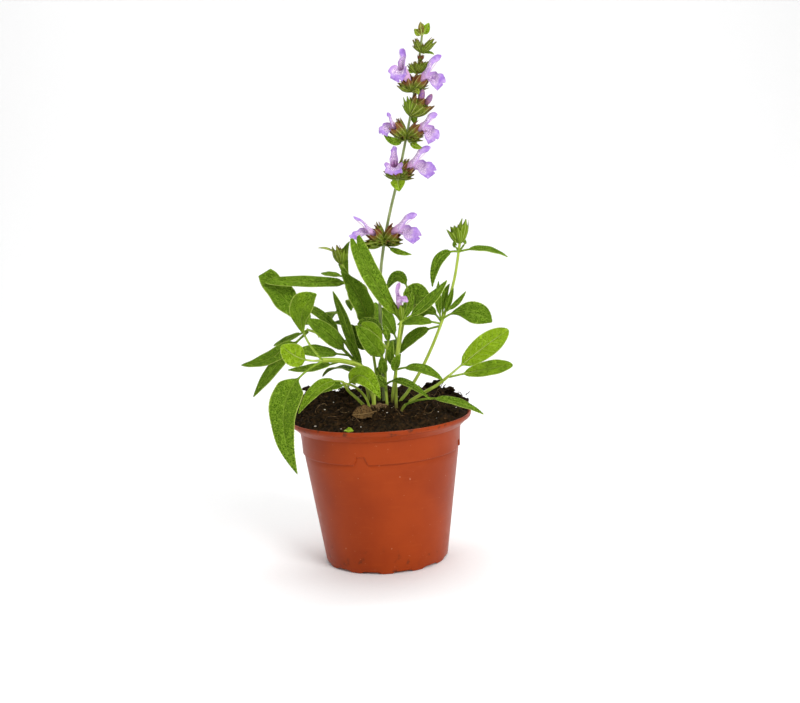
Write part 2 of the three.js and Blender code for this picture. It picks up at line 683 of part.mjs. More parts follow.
    leaves: [
      leaf([26.7, 31, 201], [19, 30, 216], [8.5, 30, 205], 9, [-0.1, -0.9, 0.5]),
      leaf([23, 29, 188], [31, 24, 201], [43, 20, 191], 19, [0.2, -1, 0.4], { wave: 0.6 }),
      leaf([20, 27, 176], [29, 47, 192], [36, 64, 184], 13, [0.2, 0.5, 1]),
      leaf([14, 21, 148], [12, 42, 161], [6, 60, 158], 13, [-0.2, 0.5, 1]),
      leaf([17, 24, 162], [8, 36, 182], [2, 42, 190], 12, [-0.4, 0.6, 0.7]),
    ],
  },
  {
    name: 'back_left_shoot',
    colour: DARK_GREEN,
    stems: [{ radius: 1.3, route: [[-9, 16, 122], [-14, 25, 150], [-20, 33, 170], [-24, 38, 184]] }],
    leaves: [
      leaf([-24, 38, 183], [-33, 54, 187], [-40, 72, 175], 14, [-0.3, 0.4, 1]),
      leaf([-22, 36, 177], [-36, 50, 178], [-48, 60, 166], 13, [-0.2, 0.1, 1]),
      leaf([-17, 29, 160], [-20, 48, 164], [-22, 68, 150], 15, [-0.1, 0.5, 1]),
      leaf([-19, 32, 167], [-9, 48, 174], [-2, 62, 168], 13, [0.4, 0.4, 0.9]),
      leaf([-12, 21, 138], [-30, 37, 145], [-46, 50, 136], 14, [-0.4, 0.4, 1]),
    ],
  },
];

function shootSolid({ stems, leaves, calyces = [] }) {
  return mainBody(joined([
    ...stems.map(({ route, radius }) => solidOf(stem(rooted(route), radius))),
    ...leaves.map((spec) => solidOf(blade(spec))),
    ...calyces.map(([base, mouth, girth]) => solidOf(calyx(base, mouth, girth))),
  ]));
}

// The middle shoot's one pink flower
const MIDDLE_FLOWER = {
  base: [19.5, -8, 188], mouth: [17.8, -13.5, 201], upper: [19.6, -21, 218.4], lower: [21.6, -23, 206.5], lip: 6,
};

// Pot

// The pot's outside and inside radius at a height, without its step, lip or foot.
function wallRadius(height) {
  return BASE_RADIUS + ((STEP_RADIUS - BASE_RADIUS) * height) / STEP_HEIGHT;
}

function insideRadius(height) {
  const above = Math.max(0, height - STEP_HEIGHT) / (LIP_FOOT - STEP_HEIGHT);
  const body = wallRadius(Math.min(height, STEP_HEIGHT)) - WALL;
  return body + above * (STEP_DEPTH + COLLAR_FLARE);
}

function potSolid() {
  const collarTop = STEP_RADIUS + STEP_DEPTH + COLLAR_FLARE;
  const floorTop = FOOT_HEIGHT + FLOOR;
  const profile = [
    [0, 0],
    [CENTRE_FOOT_RADIUS, 0],
    [CENTRE_FOOT_RADIUS, FOOT_HEIGHT],
    [BASE_RADIUS - FOOT_WIDTH, FOOT_HEIGHT],
    [BASE_RADIUS - FOOT_WIDTH, 0],
    [BASE_RADIUS, 0],
    [STEP_RADIUS, STEP_HEIGHT],
    [STEP_RADIUS + STEP_DEPTH, STEP_HEIGHT + 0.4],
    [collarTop, LIP_FOOT],
    [RIM_RADIUS - LIP_ROUND, LIP_BEAD],
    [RIM_RADIUS, LIP_BEAD + 2 * LIP_ROUND],
    [RIM_RADIUS - LIP_ROUND / 2, POT_HEIGHT],
    [RIM_RADIUS - WALL, POT_HEIGHT],
    [RIM_RADIUS - LIP_WALL, LIP_BEAD + WALL],
    [insideRadius(LIP_FOOT), LIP_FOOT + WALL / 2],
    [insideRadius(STEP_HEIGHT), STEP_HEIGHT],
    [insideRadius(floorTop), floorTop],
    [0, floorTop],
  ].map(([radius, height]) => new THREE.Vector2(radius, height));
  let pot = solidOf(lathe(profile, ROUND_SIDES));
  for (let gap = 0; gap < FOOT_COUNT; gap += 1) {
    pot = pot.subtract(footGap((360 * (gap + 0.5)) / FOOT_COUNT));
  }
  for (let drain = 0; drain < DRAIN_COUNT; drain += 1) {
    pot = pot.subtract(drainHole((360 * drain) / DRAIN_COUNT));
  }
  for (let notch = 0; notch < NOTCH_COUNT; notch += 1) {
    pot = pot.subtract(stepNotch(NOTCH_TURN + (360 * notch) / NOTCH_COUNT));
  }
  return mainBody(pot);
}

// A lathe turned about +Z from points of radius and height.
function lathe(profile, sides) {
  return new THREE.LatheGeometry(profile, sides).rotateX(Math.PI / 2);
}

function footGap(degrees) {
  const width = (Math.PI * BASE_RADIUS) / FOOT_COUNT;
  const cutter = new THREE.BoxGeometry(FOOT_WIDTH * 3, width, FOOT_HEIGHT * 2);
  cutter.translate(BASE_RADIUS - FOOT_WIDTH / 2, 0, 0);
  return solidOf(cutter.rotateZ(rad(degrees)));
}

function drainHole(degrees) {
  const cutter = new THREE.CylinderGeometry(DRAIN_RADIUS, DRAIN_RADIUS, FLOOR * 3, DRAIN_SIDES);
  cutter.rotateX(Math.PI / 2);
  cutter.translate(DRAIN_CIRCLE, 0, FOOT_HEIGHT + FLOOR / 2);
  return solidOf(cutter.rotateZ(rad(degrees)));
}

// A shallow recess where the step line rises round a stacking notch.
function stepNotch(degrees) {
  const outline = new THREE.Shape();
  outline.moveTo(-NOTCH_FOOT / 2, -1);
  outline.lineTo(NOTCH_FOOT / 2, -1);
  outline.lineTo(NOTCH_TOP / 2, NOTCH_HEIGHT);
  outline.lineTo(-NOTCH_TOP / 2, NOTCH_HEIGHT);
  outline.closePath();
  const cutter = new THREE.ExtrudeGeometry(outline, { depth: 6, bevelEnabled: false });
  cutter.rotateX(Math.PI / 2);
  cutter.translate(0, 0, STEP_HEIGHT);
  cutter.rotateZ(Math.PI / 2);
  cutter.translate(STEP_RADIUS + 0.25, 0, 0);
  return solidOf(cutter.rotateZ(rad(degrees)));
}

// Peat

// A dead leaf that lies on the peat in front of the stems
const DRY_LEAF_ENDS = [[-2, -24], [-11, -33], [-20, -38]];
const DRY_LEAF_LIFT = [2.8, 3.6, 2.6];

function dryLeaf() {
  const [from, through, tip] = DRY_LEAF_ENDS.map(([x, y], order) => (
    [x, y, peatTop(x, y) + DRY_LEAF_LIFT[order]]
  ));
  return solidOf(blade(leaf(from, through, tip, 11, [0, -0.4, 1], { fold: 0.3, wave: 0.4 })));
}

// The height of the peat's top over a point: domed, higher at the back, heaped at two sides,
// and falling to the lip all round.
function peatTop(x, y) {
  const out = Math.min(1, Math.hypot(x, y) / PEAT_EDGE);
  const heaps = PEAT_HEAPS.reduce((sum, heap) => (
    sum + heap.height * Math.exp(-((x - heap.x) ** 2 + (y - heap.y) ** 2) / heap.spread)
  ), 0);
  const lumps = PEAT_LUMP * (Math.sin(x * 0.37 + y * 0.11) + Math.sin(y * 0.41 - x * 0.19 + 1));
  const rise = PEAT_DOME * (1 - out * out) + PEAT_TILT * (1 + y / PEAT_EDGE) + heaps + lumps;
  return PEAT_EDGE_HEIGHT + rise * (1 - THREE.MathUtils.smoothstep(out, PEAT_FALL, 1));
}

function peatSolid() {
  const edge = PEAT_EDGE;
  const floor = FOOT_HEIGHT + FLOOR + GAP;
  const points = [new THREE.Vector3(0, 0, peatTop(0, 0)), new THREE.Vector3(0, 0, floor)];
  const rows = [
    ...PEAT_RINGS.map((share) => (x, y) => [edge * share, peatTop(x * edge * share, y * edge * share)]),
    () => [RIM_RADIUS - LIP_WALL - GAP, LIP_BEAD + WALL],
    () => [insideRadius(LIP_FOOT) - GAP, LIP_FOOT + WALL / 2],
    () => [insideRadius(STEP_HEIGHT) - GAP, STEP_HEIGHT],
    () => [insideRadius(floor) - GAP, floor],
  ];
  for (const row of rows) {
    for (let side = 0; side < ROUND_SIDES; side += 1) {
      const turn = (2 * Math.PI * side) / ROUND_SIDES;
      const [radius, height] = row(Math.cos(turn), Math.sin(turn));
      points.push(new THREE.Vector3(radius * Math.cos(turn), radius * Math.sin(turn), height));
    }
  }
  const index = (row, side) => 2 + row * ROUND_SIDES + (side % ROUND_SIDES);
  const faces = [];
  for (let side = 0; side < ROUND_SIDES; side += 1) {
    faces.push([0, index(0, side), index(0, side + 1)]);
    faces.push([1, index(rows.length - 1, side + 1), index(rows.length - 1, side)]);
    for (let row = 0; row + 1 < rows.length; row += 1) {
      faces.push([index(row, side), index(row + 1, side), index(row + 1, side + 1)]);
      faces.push([index(row, side), index(row + 1, side + 1), index(row, side + 1)]);
    }
  }
  let peat = solidOf(outward(points, faces));
  for (const { radius, route } of rootedStems()) {
    const [[x, y, z], ...rest] = route;
    const hole = stem([[x, y, z - GAP], ...rest], radius + HOLE_GAP).applyMatrix4(plantPlace);
    peat = peat.subtract(solidOf(hole));
  }
  return mainBody(peat);
}

function rootedStems() {
  const all = [SPIKE_ROUTES[0], ...SHOOTS.flatMap(({ stems }) => stems)];
  return all.map(({ radius, route }) => ({ radius, route: rooted(route) }));
}

// Finished part

const group = new THREE.Group();

function add(name, solid, colour, roughness) {
  const material = new THREE.MeshStandardMaterial({ color: colour, roughness, metalness: 0 });
  const mesh = new THREE.Mesh(geometryOf(solid), material);
  mesh.name = name;
  group.add(mesh);
  return mesh;
}

function addToPlant(name, solid, colour, roughness) {
  add(name, solid, colour, roughness).geometry.applyMatrix4(plantPlace);
}

add('pot', potSolid(), 0xa54b28, 0.5);
add('peat', peatSolid(), 0x2b1d14, 0.95);
add('dry_leaf', dryLeaf(), 0x6b4a2c, 0.9);
addToPlant('flower_spike', flowerSpike(), SPIKE_GREEN, 0.7);
for (const shoot of SHOOTS) {
  addToPlant(shoot.name, shootSolid(shoot), shoot.colour, 0.65);
}
FLOWERS.forEach((flower, order) => {
  addToPlant(`corolla_${order + 1}`, spikeFlower(flower), VIOLET, 0.6);
});
FLOWER_BUDS.forEach((flower, order) => {
  addToPlant(`bud_corolla_${order + 1}`, spikeFlower(flower), VIOLET, 0.6);
});
addToPlant('pink_corolla', corolla(MIDDLE_FLOWER), PINK, 0.6);

export default group;
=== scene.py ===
# %% [markdown]
# # Dressing a potted sage
# The solid model of this plant is right in every size, but its leaves are a few flat facets each
# and its colours are plain. This lesson dresses it: each solid is replaced by a finer piece of
# the same form, laid in exactly the same place. Most of a plant is one shape repeated, so the
# plan is to model each shape once, as a straight blank, and then to lay copies of the blank
# along curves. Lengths are given in millimetres and turned to metres when a mesh is written.

# %% Load the solid model as a fixed frame
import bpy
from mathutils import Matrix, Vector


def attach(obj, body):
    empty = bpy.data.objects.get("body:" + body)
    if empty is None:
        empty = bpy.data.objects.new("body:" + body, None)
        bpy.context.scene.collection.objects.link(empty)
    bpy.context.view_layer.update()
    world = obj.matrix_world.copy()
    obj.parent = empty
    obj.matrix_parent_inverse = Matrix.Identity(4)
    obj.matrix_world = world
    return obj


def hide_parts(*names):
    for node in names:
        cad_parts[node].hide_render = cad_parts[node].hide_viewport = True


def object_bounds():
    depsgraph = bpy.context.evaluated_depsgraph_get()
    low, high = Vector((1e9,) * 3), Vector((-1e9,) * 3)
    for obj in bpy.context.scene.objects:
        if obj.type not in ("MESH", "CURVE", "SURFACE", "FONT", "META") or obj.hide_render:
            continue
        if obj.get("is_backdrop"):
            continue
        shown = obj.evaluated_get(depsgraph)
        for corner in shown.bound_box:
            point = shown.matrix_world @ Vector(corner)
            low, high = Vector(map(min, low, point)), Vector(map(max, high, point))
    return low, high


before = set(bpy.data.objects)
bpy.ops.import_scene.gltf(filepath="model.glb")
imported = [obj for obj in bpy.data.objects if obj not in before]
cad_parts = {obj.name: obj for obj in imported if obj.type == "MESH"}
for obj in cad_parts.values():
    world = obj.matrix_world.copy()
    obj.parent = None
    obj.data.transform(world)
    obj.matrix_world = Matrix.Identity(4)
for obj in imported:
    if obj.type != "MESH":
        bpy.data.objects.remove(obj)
solid_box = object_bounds()
print("solids:", len(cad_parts), "box:", [[round(c, 4) for c in corner] for corner in solid_box])

# %% What the lesson needs from Python and Blender
import math
import random

import bpy
import numpy as np
from mathutils import Matrix, Vector, noise

MM = 0.001
dice = random.Random(17)


def edit(select=None):
    """Into edit mode. `select` may be SELECT, for everything, or DESELECT, for nothing."""
    bpy.ops.object.mode_set(mode="EDIT")
    if select:
        bpy.ops.mesh.select_all(action=select)


def leave_edit():
    bpy.ops.object.mode_set(mode="OBJECT")


def clear_selection():
    """Nothing selected, nothing in edit mode, so that an operator acts on new things only."""
    if bpy.context.object and bpy.context.object.mode != "OBJECT":
        leave_edit()
    bpy.ops.object.select_all(action="DESELECT")


def pick(piece):
    """Only this piece is selected and active."""
    clear_selection()
    piece.select_set(True)
    bpy.context.view_layer.objects.active = piece


def apply_modifier(piece, kind, **settings):
    """Gives the active piece a modifier and applies it at once."""
    modifier = piece.modifiers.new(kind.lower(), kind)
    for key, value in settings.items():
        setattr(modifier, key, value)
    bpy.ops.object.modifier_apply(modifier=modifier.name)


clear_selection()
print("ready")

# %% [markdown]
# ## The camera
# The plant is seen from a little above, about a metre away, through a long lens that is rolled
# three degrees. The camera's turn is two rotations: down from the horizon, then round its own
# line of sight.

# %% Place the camera
CAMERA_PLACE = (0.018, -1.0098, 0.3141)
CAMERA_DOWN = math.radians(8.68)
CAMERA_ROLL = math.radians(-3)
LENS = 60.4

bpy.ops.object.camera_add(location=CAMERA_PLACE)
camera = bpy.context.object
turn = Matrix.Rotation(math.pi / 2 - CAMERA_DOWN, 4, "X") @ Matrix.Rotation(CAMERA_ROLL, 4, "Z")
camera.matrix_world = Matrix.Translation(CAMERA_PLACE) @ turn
camera.data.lens = LENS
camera.data.clip_start = 0.01
bpy.context.scene.camera = camera
print("camera lens", camera.data.lens)

# %% [markdown]
# ## Finishes
# A finish is a Principled shader whose colour, and the fine relief under it, are worked out by
# texture nodes. A node tree written out in full is long and hard to read, so a small bench of
# tools comes first: each tool adds one node, links what it is given, and hands back its output.

# %% A bench for building finishes
def srgb(red, green, blue):
    """A colour as seen on a screen, from 0 to 255, in the linear light that shaders use."""
    shares = [c / 255 for c in (red, green, blue)]
    return tuple(c / 12.92 if c <= 0.04045 else ((c + 0.055) / 1.055) ** 2.4 for c in shares) + (1.0,)


class Bench:
    """A material in the making."""

    def __init__(self, name, **shader_values):
        self.material = bpy.data.materials.new(name)
        self.material.use_nodes = True
        self.tree = self.material.node_tree
        self.shader = next(n for n in self.tree.nodes if n.type == "BSDF_PRINCIPLED")
        for socket, value in shader_values.items():
            self.shader.inputs[socket.replace("_", " ")].default_value = value

    def feed(self, node, inputs):
        """Links or sets each input of a node."""
        for key, value in inputs.items():
            if isinstance(value, bpy.types.NodeSocket):
                self.tree.links.new(value, node.inputs[key])
            else:
                node.inputs[key].default_value = value

    def node(self, kind, inputs=(), output=0, **settings):
        made = self.tree.nodes.new("ShaderNode" + kind)
        for key, value in settings.items():
            setattr(made, key, value)
        self.feed(made, dict(inputs))
        return made.outputs[output]

    def attribute(self, name, output="Vector"):
        return self.node("Attribute", output=output, attribute_name=name)

    def place(self):
        return self.node("TexCoord", output="Object")

    def split(self, vector):
        made = self.tree.nodes.new("ShaderNodeSeparateXYZ")
        self.feed(made, {0: vector})
        return made.outputs

    def math(self, operation, *values):
        return self.node("Math", enumerate(values), operation=operation)

    def plus(self, a, b):
        return self.math("ADD", a, b)

    def minus(self, a, b):
        return self.math("SUBTRACT", a, b)

    def times(self, a, b):
        return self.math("MULTIPLY", a, b)

    def size(self, value):
        return self.math("ABSOLUTE", value)

    def either_side(self, value, reach):
        """A value from 0 to 1 as one from -reach/2 to reach/2."""
        return self.math("MULTIPLY_ADD", value, reach, -reach / 2)

    def step(self, value, low, high, out_low=0.0, out_high=1.0):
        """A soft step: out_low where value is under low, out_high where it is over high."""
        inputs = enumerate((value, low, high, out_low, out_high))
        return self.node("MapRange", inputs, interpolation_type="SMOOTHSTEP")

    def stretch(self, vector, x, y, z):
        return self.node("VectorMath", {0: vector, 1: (x, y, z)}, operation="MULTIPLY")

    def noise(self, vector, scale, detail=3.0, roughness=0.55, distortion=0.0):
        inputs = {"Vector": vector, "Scale": scale, "Detail": detail, "Roughness": roughness,
                  "Distortion": distortion}
        return self.node("TexNoise", inputs)

    def cells(self, vector, scale):
        """A net: 0 on its threads, rising to the middle of each mesh."""
        return self.node("TexVoronoi", {"Vector": vector, "Scale": scale}, feature="DISTANCE_TO_EDGE")

    def blend(self, share, below, above):
        """`below` where share is 0 and `above` where it is 1."""
        made = self.tree.nodes.new("ShaderNodeMix")
        made.data_type = "RGBA"
        self.feed(made, {0: share, 6: below, 7: above})
        return made.outputs[2]

    def tint(self, base, colour, value, low, high, out_low=0.0, out_high=1.0):
        """`colour` laid over `base` by a soft step of a value."""
        return self.blend(self.step(value, low, high, out_low, out_high), base, colour)

    def finish(self, colour, roughness=None, height=None, depth=0.2, strength=1.0):
        """Links the colour, the roughness and a relief of `depth` millimetres to the shader."""
        self.feed(self.shader, {"Base Color": colour})
        if roughness is not None:
            self.feed(self.shader, {"Roughness": roughness})
        if height is not None:
            relief = {"Height": height, "Distance": depth * MM, "Strength": strength}
            self.feed(self.shader, {"Normal": self.node("Bump", relief, output="Normal")})
        return self.material


print("bench ready")

# %% [markdown]
# ## The leaf's finishes
# A sage leaf is a quilt. A pale midrib runs up its middle, side veins leave it at a slant, and a
# fine net fills the rest, with a small cushion of green in each mesh. Above, the veins are sunk
# and the cushions stand up. Below, the leaf is paler and the veins stand out. Its thin edge is
# pale too. The pattern has to follow each leaf wherever it bends, so it isn't drawn on object
# coordinates. Every blade carries three attributes instead: `blade_mm` (millimetres across,
# millimetres along, a number of its own), `blade_share` (share across, share along, tone) and
# `vein`, which passes a whole number at each side vein.

# %% Leaf colours and pattern
LEAF_DARK = srgb(34, 66, 2)
LEAF_MIDDLE = srgb(78, 118, 2)
LEAF_YOUNG = srgb(142, 180, 6)
LEAF_BLUSH = srgb(140, 96, 56)
VEIN_PALE = srgb(150, 180, 62)
VEIN_YOUNG = srgb(205, 222, 120)
UNDER_PALE = srgb(98, 130, 32)
EDGE_PALE = srgb(186, 204, 96)
NET_MESHES = 0.8
VEIN_STRENGTH = 0.9


def leaf_colours(bench, tone):
    """Green from dark through middle to young as the tone runs from -1 to 1, and ruddy past 2."""
    green = bench.tint(LEAF_DARK, LEAF_MIDDLE, tone, -1.0, 0.0)
    green = bench.tint(green, LEAF_YOUNG, tone, 0.0, 1.0)
    return bench.tint(green, LEAF_BLUSH, tone, 2.0, 3.0)


def leaf_pattern(bench, where):
    """(tone, share along, veins, net) of a blade: veins is 1 on its midrib, net is the finer mesh."""
    from_rib = bench.size(bench.split(where)[0])
    _, along, tone = bench.split(bench.attribute("blade_share"))
    wobble = bench.times(bench.noise(where, 0.35, 2.0), 0.6)
    rib = bench.step(from_rib, 0.15, 0.6, 0.8, 0.0)
    rib = bench.times(rib, bench.step(along, 0.35, 1.0, 1.0, 0.2))
    from_vein = bench.math("PINGPONG", bench.plus(bench.attribute("vein", "Fac"), wobble), 0.5)
    side = bench.step(from_vein, 0.01, 0.08, 1.0, 0.0)
    side = bench.times(side, bench.step(along, 0.3, 1.0, 0.34, 0.16))
    return tone, along, bench.math("MAXIMUM", rib, side), bench.cells(where, NET_MESHES)


print("leaf tones run from", LEAF_DARK[:3], "to", LEAF_YOUNG[:3])


# %% Leaf finishes: above, below and edge
def leaf_upper():
    bench = Bench("leaf_upper", Roughness=0.5, Specular_IOR_Level=0.03)
    where = bench.attribute("blade_mm")
    tone, along, veins, net = leaf_pattern(bench, where)
    share_across = bench.split(bench.attribute("blade_share"))[0]
    tone = bench.plus(tone, bench.either_side(bench.noise(where, 0.09), 1.1))
    tone = bench.plus(tone, bench.step(along, 0.0, 0.35, 0.25, 0.0))
    green = leaf_colours(bench, tone)
    green = bench.tint(green, VEIN_PALE, net, 0.0, 0.16, 0.6, 0.0)
    green = bench.tint(green, LEAF_DARK, net, 0.18, 0.42, 0.0, 0.72)
    green = bench.tint(green, VEIN_PALE, bench.noise(where, 1.6, 2.0), 0.5, 0.66, 0.0, 0.2)
    pale = bench.tint(VEIN_PALE, VEIN_YOUNG, tone, 0.3, 1.0)
    green = bench.blend(bench.times(veins, VEIN_STRENGTH), green, pale)
    green = bench.tint(green, EDGE_PALE, share_across, 0.93, 0.98, 0.0, 0.8)
    cushions = bench.minus(bench.step(net, 0.0, 0.4), veins)
    return bench.finish(green, height=cushions, depth=0.8, strength=1.0)


def leaf_under():
    bench = Bench("leaf_under", Roughness=0.6, Specular_IOR_Level=0.03)
    where = bench.attribute("blade_mm")
    tone, _, veins, net = leaf_pattern(bench, where)
    tone = bench.plus(tone, bench.either_side(bench.noise(where, 0.12), 0.8))
    green = bench.blend(0.45, leaf_colours(bench, tone), UNDER_PALE)
    green = bench.tint(green, VEIN_PALE, net, 0.0, 0.25, 0.4, 0.0)
    green = bench.blend(bench.times(veins, VEIN_STRENGTH), green, VEIN_PALE)
    ridges = bench.plus(bench.step(net, 0.0, 0.4, 0.5, 0.0), veins)
    return bench.finish(green, height=ridges, depth=0.35, strength=0.8)


def leaf_edge():
    bench = Bench("leaf_edge", Roughness=0.6, Specular_IOR_Level=0.14)
    fleck = bench.noise(bench.attribute("blade_mm"), 0.8, 2.0)
    tone = bench.split(bench.attribute("blade_share"))[2]
    green = bench.blend(0.55, leaf_colours(bench, tone), EDGE_PALE)
    return bench.finish(bench.blend(bench.times(fleck, 0.5), green, EDGE_PALE))


LEAF_FINISHES = [leaf_upper(), leaf_under(), leaf_edge()]
print("leaf finishes:", [m.name for m in LEAF_FINISHES])

# %% [markdown]
# ## Finishes of stems, flower cups and petals
# A young sage stem is pale and streaked, and it turns brown and woody where it enters the peat.
# A flower cup is olive green, paler on its ribs, darker in the grooves between them as painted
# shade, and red-brown on its teeth. A petal is violet, veined, with a pink tube and a whitish
# throat. These read the same attributes as the leaves: on a stem, `blade_mm` holds the distance
# round it and along it.

# %% Stem finishes
STALK_PALE = srgb(184, 202, 84)
STEM_SHADE = srgb(134, 156, 44)
STEM_BROWN = srgb(112, 92, 52)
SPIKE_OLIVE = srgb(106, 118, 70)
SPIKE_PALE = srgb(154, 166, 110)


def stem_finish(name, pale, shade):
    """Fine streaks along the stem. Tone is 0 on a stem and 1 at its woody foot."""
    bench = Bench(name, Roughness=0.5, Specular_IOR_Level=0.2, Subsurface_Weight=0.1,
                  Subsurface_Scale=0.001, Subsurface_Radius=(0.6, 1.0, 0.2))
    streaks = bench.noise(bench.stretch(bench.attribute("blade_mm"), 2.2, 0.12, 1.0), 1.0)
    foot = bench.split(bench.attribute("blade_share"))[2]
    green = bench.tint(shade, pale, streaks, 0.35, 0.7)
    green = bench.tint(green, STEM_BROWN, foot, 0.2, 1.0, 0.0, 0.85)
    return bench.finish(green, height=streaks, depth=0.12, strength=0.7)


stem_pale = stem_finish("stem_pale", STALK_PALE, STEM_SHADE)
stem_olive = stem_finish("stem_olive", SPIKE_PALE, SPIKE_OLIVE)
print("stem finishes:", stem_pale.name, stem_olive.name)

# %% Flower cup finish
CUP_OLIVE = srgb(124, 140, 36)
CUP_SHADE = srgb(66, 78, 16)
CUP_FRESH = srgb(118, 146, 26)
CUP_RIB = srgb(206, 212, 132)
CUP_BROWN = srgb(118, 62, 38)
CUP_RIB_COUNT = 10


def cup_finish():
    """blade_share holds (share round, share of the height, tone): the higher the tone, the greener."""
    bench = Bench("flower_cup", Roughness=0.55, Specular_IOR_Level=0.14)
    around, height, tone = bench.split(bench.attribute("blade_share"))
    ribs = bench.math("PINGPONG", bench.times(around, CUP_RIB_COUNT), 0.5)
    mottle = bench.noise(bench.place(), 900.0)
    green = bench.tint(CUP_OLIVE, CUP_SHADE, mottle, 0.35, 0.7)
    green = bench.tint(green, CUP_FRESH, tone, 0.0, 1.0)
    # painted shade: the grooves between the ribs are darkened halfway towards CUP_SHADE
    green = bench.tint(green, CUP_SHADE, ribs, 0.25, 0.5, 0.0, 0.5)
    brown = bench.plus(height, bench.either_side(mottle, 0.5))
    brown = bench.minus(brown, bench.times(tone, 0.22))
    from_top = bench.size(bench.minus(around, 0.5))
    brown = bench.plus(brown, bench.step(from_top, 0.0, 0.3, 0.22, 0.0))
    green = bench.tint(green, CUP_BROWN, brown, 0.66, 1.0, 0.0, 0.9)
    green = bench.tint(green, CUP_RIB, ribs, 0.0, 0.1, 0.5, 0.0)
    return bench.finish(green, height=bench.step(ribs, 0.0, 0.2, 1.0, 0.0), depth=0.25)


flower_cup = cup_finish()
print("cup finish:", flower_cup.name)

# %% Petal finish
PETAL_VIOLET = srgb(150, 112, 198)
PETAL_LILAC = srgb(190, 158, 220)
PETAL_RIM = srgb(160, 130, 186)
PETAL_PINK = srgb(226, 176, 218)
PETAL_MARK = srgb(120, 72, 158)
BUD_BROWN = srgb(136, 86, 92)
THROAT_WHITE = srgb(248, 226, 244)
THROAT_PLACE = 1.18


def petal_finish():
    """blade_share holds (share across, 0 at the foot to 1 at the mouth to 2 at a lip's end, pink)."""
    bench = Bench("petal", Roughness=0.5, Specular_IOR_Level=0.2, Subsurface_Weight=0.2,
                  Subsurface_Scale=0.0015, Subsurface_Radius=(1.0, 0.7, 1.0))
    where = bench.attribute("blade_mm")
    across, along, pink = bench.split(bench.attribute("blade_share"))
    from_middle = bench.size(across)
    violet = bench.tint(PETAL_VIOLET, PETAL_LILAC, bench.noise(where, 0.3), 0.35, 0.68)
    veins = bench.noise(bench.stretch(where, 1.7, 0.22, 1.0), 1.0, 2.0)
    violet = bench.tint(violet, PETAL_MARK, veins, 0.54, 0.72, 0.0, 0.4)
    violet = bench.tint(violet, PETAL_RIM, from_middle, 0.86, 1.0, 0.0, 0.7)
    tube = bench.step(along, 0.7, 1.3, 0.85, 0.0)
    violet = bench.blend(bench.math("MAXIMUM", tube, bench.times(pink, 0.6)), violet, PETAL_PINK)
    throat = bench.minus(1.0, bench.size(bench.minus(along, THROAT_PLACE)))
    ragged = bench.plus(throat, bench.either_side(veins, 0.5))
    white = bench.times(bench.step(ragged, 0.64, 0.84), bench.step(from_middle, 0.45, 0.95, 1.0, 0.0))
    violet = bench.blend(bench.times(white, 0.85), violet, THROAT_WHITE)
    violet = bench.tint(violet, BUD_BROWN, pink, 1.0, 2.0, 0.0, 0.85)
    spots = bench.step(bench.cells(where, 1.1), 0.05, 0.2, 0.8, 0.0)
    violet = bench.blend(bench.times(white, spots), violet, PETAL_MARK)
    return bench.finish(violet, height=veins, depth=0.3, strength=0.8)


petal = petal_finish()
print("finishes:", len(bpy.data.materials))

# %% [markdown]
# ## Curves to lay pieces on
# Each leaf's rib is a bend through three points, and each stem is a smooth line through its
# joints. A copy of a blank follows such a line if every row of its vertices is set square to
# the line at its own place. That takes a point and a heading at each row, and a side direction
# that doesn't twist.

# %% Ribs and routes
STEM_FACE = (0, -1, 0.13)


def unit(vectors):
    vectors = np.asarray(vectors, float)
    return vectors / np.maximum(np.linalg.norm(vectors, axis=-1, keepdims=True), 1e-9)


def square_to(headings, towards):
    """A direction square to each heading, as near to `towards` as it can be."""
    towards = np.array(towards, float)
    return unit(towards - headings * (headings @ towards)[:, None])


def rib_at(start, through, tip, shares):
    """Points and headings on the rib that passes `through` halfway, at shares from 0 to 1."""
    start, through, tip = (np.array(p, float) for p in (start, through, tip))
    bend = 2 * through - (start + tip) / 2
    t = np.asarray(shares, float)[:, None]
    points = (1 - t) ** 2 * start + 2 * (1 - t) * t * bend + t**2 * tip
    return points, unit((1 - t) * (bend - start) + t * (tip - bend))


def smooth_route(joints, steps=8):
    """Many points on the smooth line through a few joints, which never overshoots between them."""
    p = np.array(joints, float)
    p = np.vstack([2 * p[0] - p[1], p, 2 * p[-1] - p[-2]])
    t = np.linspace(0, 1, steps, endpoint=False)[:, None]
    line = []
    for a, b, c, d in zip(p, p[1:], p[2:], p[3:]):
        before, between, after = (math.sqrt(np.linalg.norm(v)) for v in (b - a, c - b, d - c))
        leave = ((b - a) / before - (c - a) / (before + between) + (c - b) / between) * between
        arrive = ((c - b) / between - (d - b) / (between + after) + (d - c) / after) * between
        line.append(b + leave * t + (3 * (c - b) - 2 * leave - arrive) * t**2
                    + (2 * (b - c) + leave + arrive) * t**3)
    return np.vstack([*line, p[-2:-1]])


def along_line(line, shares):
    """Points, headings and untwisted sides at shares of a line's length."""
    lengths = np.concatenate([[0], np.cumsum(np.linalg.norm(np.diff(line, axis=0), axis=1))])
    at = np.asarray(shares, float) * lengths[-1]
    points = np.stack([np.interp(at, lengths, line[:, k]) for k in range(3)], 1)
    headings = unit(np.stack([np.interp(at, lengths, np.gradient(line[:, k])) for k in range(3)], 1))
    side = np.cross(headings[0], STEM_FACE)
    sides = []
    for heading in headings:
        side = unit(side - heading * side.dot(heading))
        sides.append(side)
    return points, headings, np.array(sides), lengths[-1]


print("a route of 3 joints has", len(smooth_route([(0, 0, 0), (0, 0, 10), (5, 0, 20)])), "points")

# %% [markdown]
# ## Blanks
# A leaf blank is a thin flat board: a grid two units wide and one long, given its thickness by a
# Solidify modifier. It has an upper sheet, a lower sheet and a narrow edge, and each has a
# material slot of its own. Rows are many, because the leaf's edge will be scalloped, and three
# sizes keep small leaves light. A stem blank is a tube, made as by hand: a ring is added and
# extruded upwards again and again.

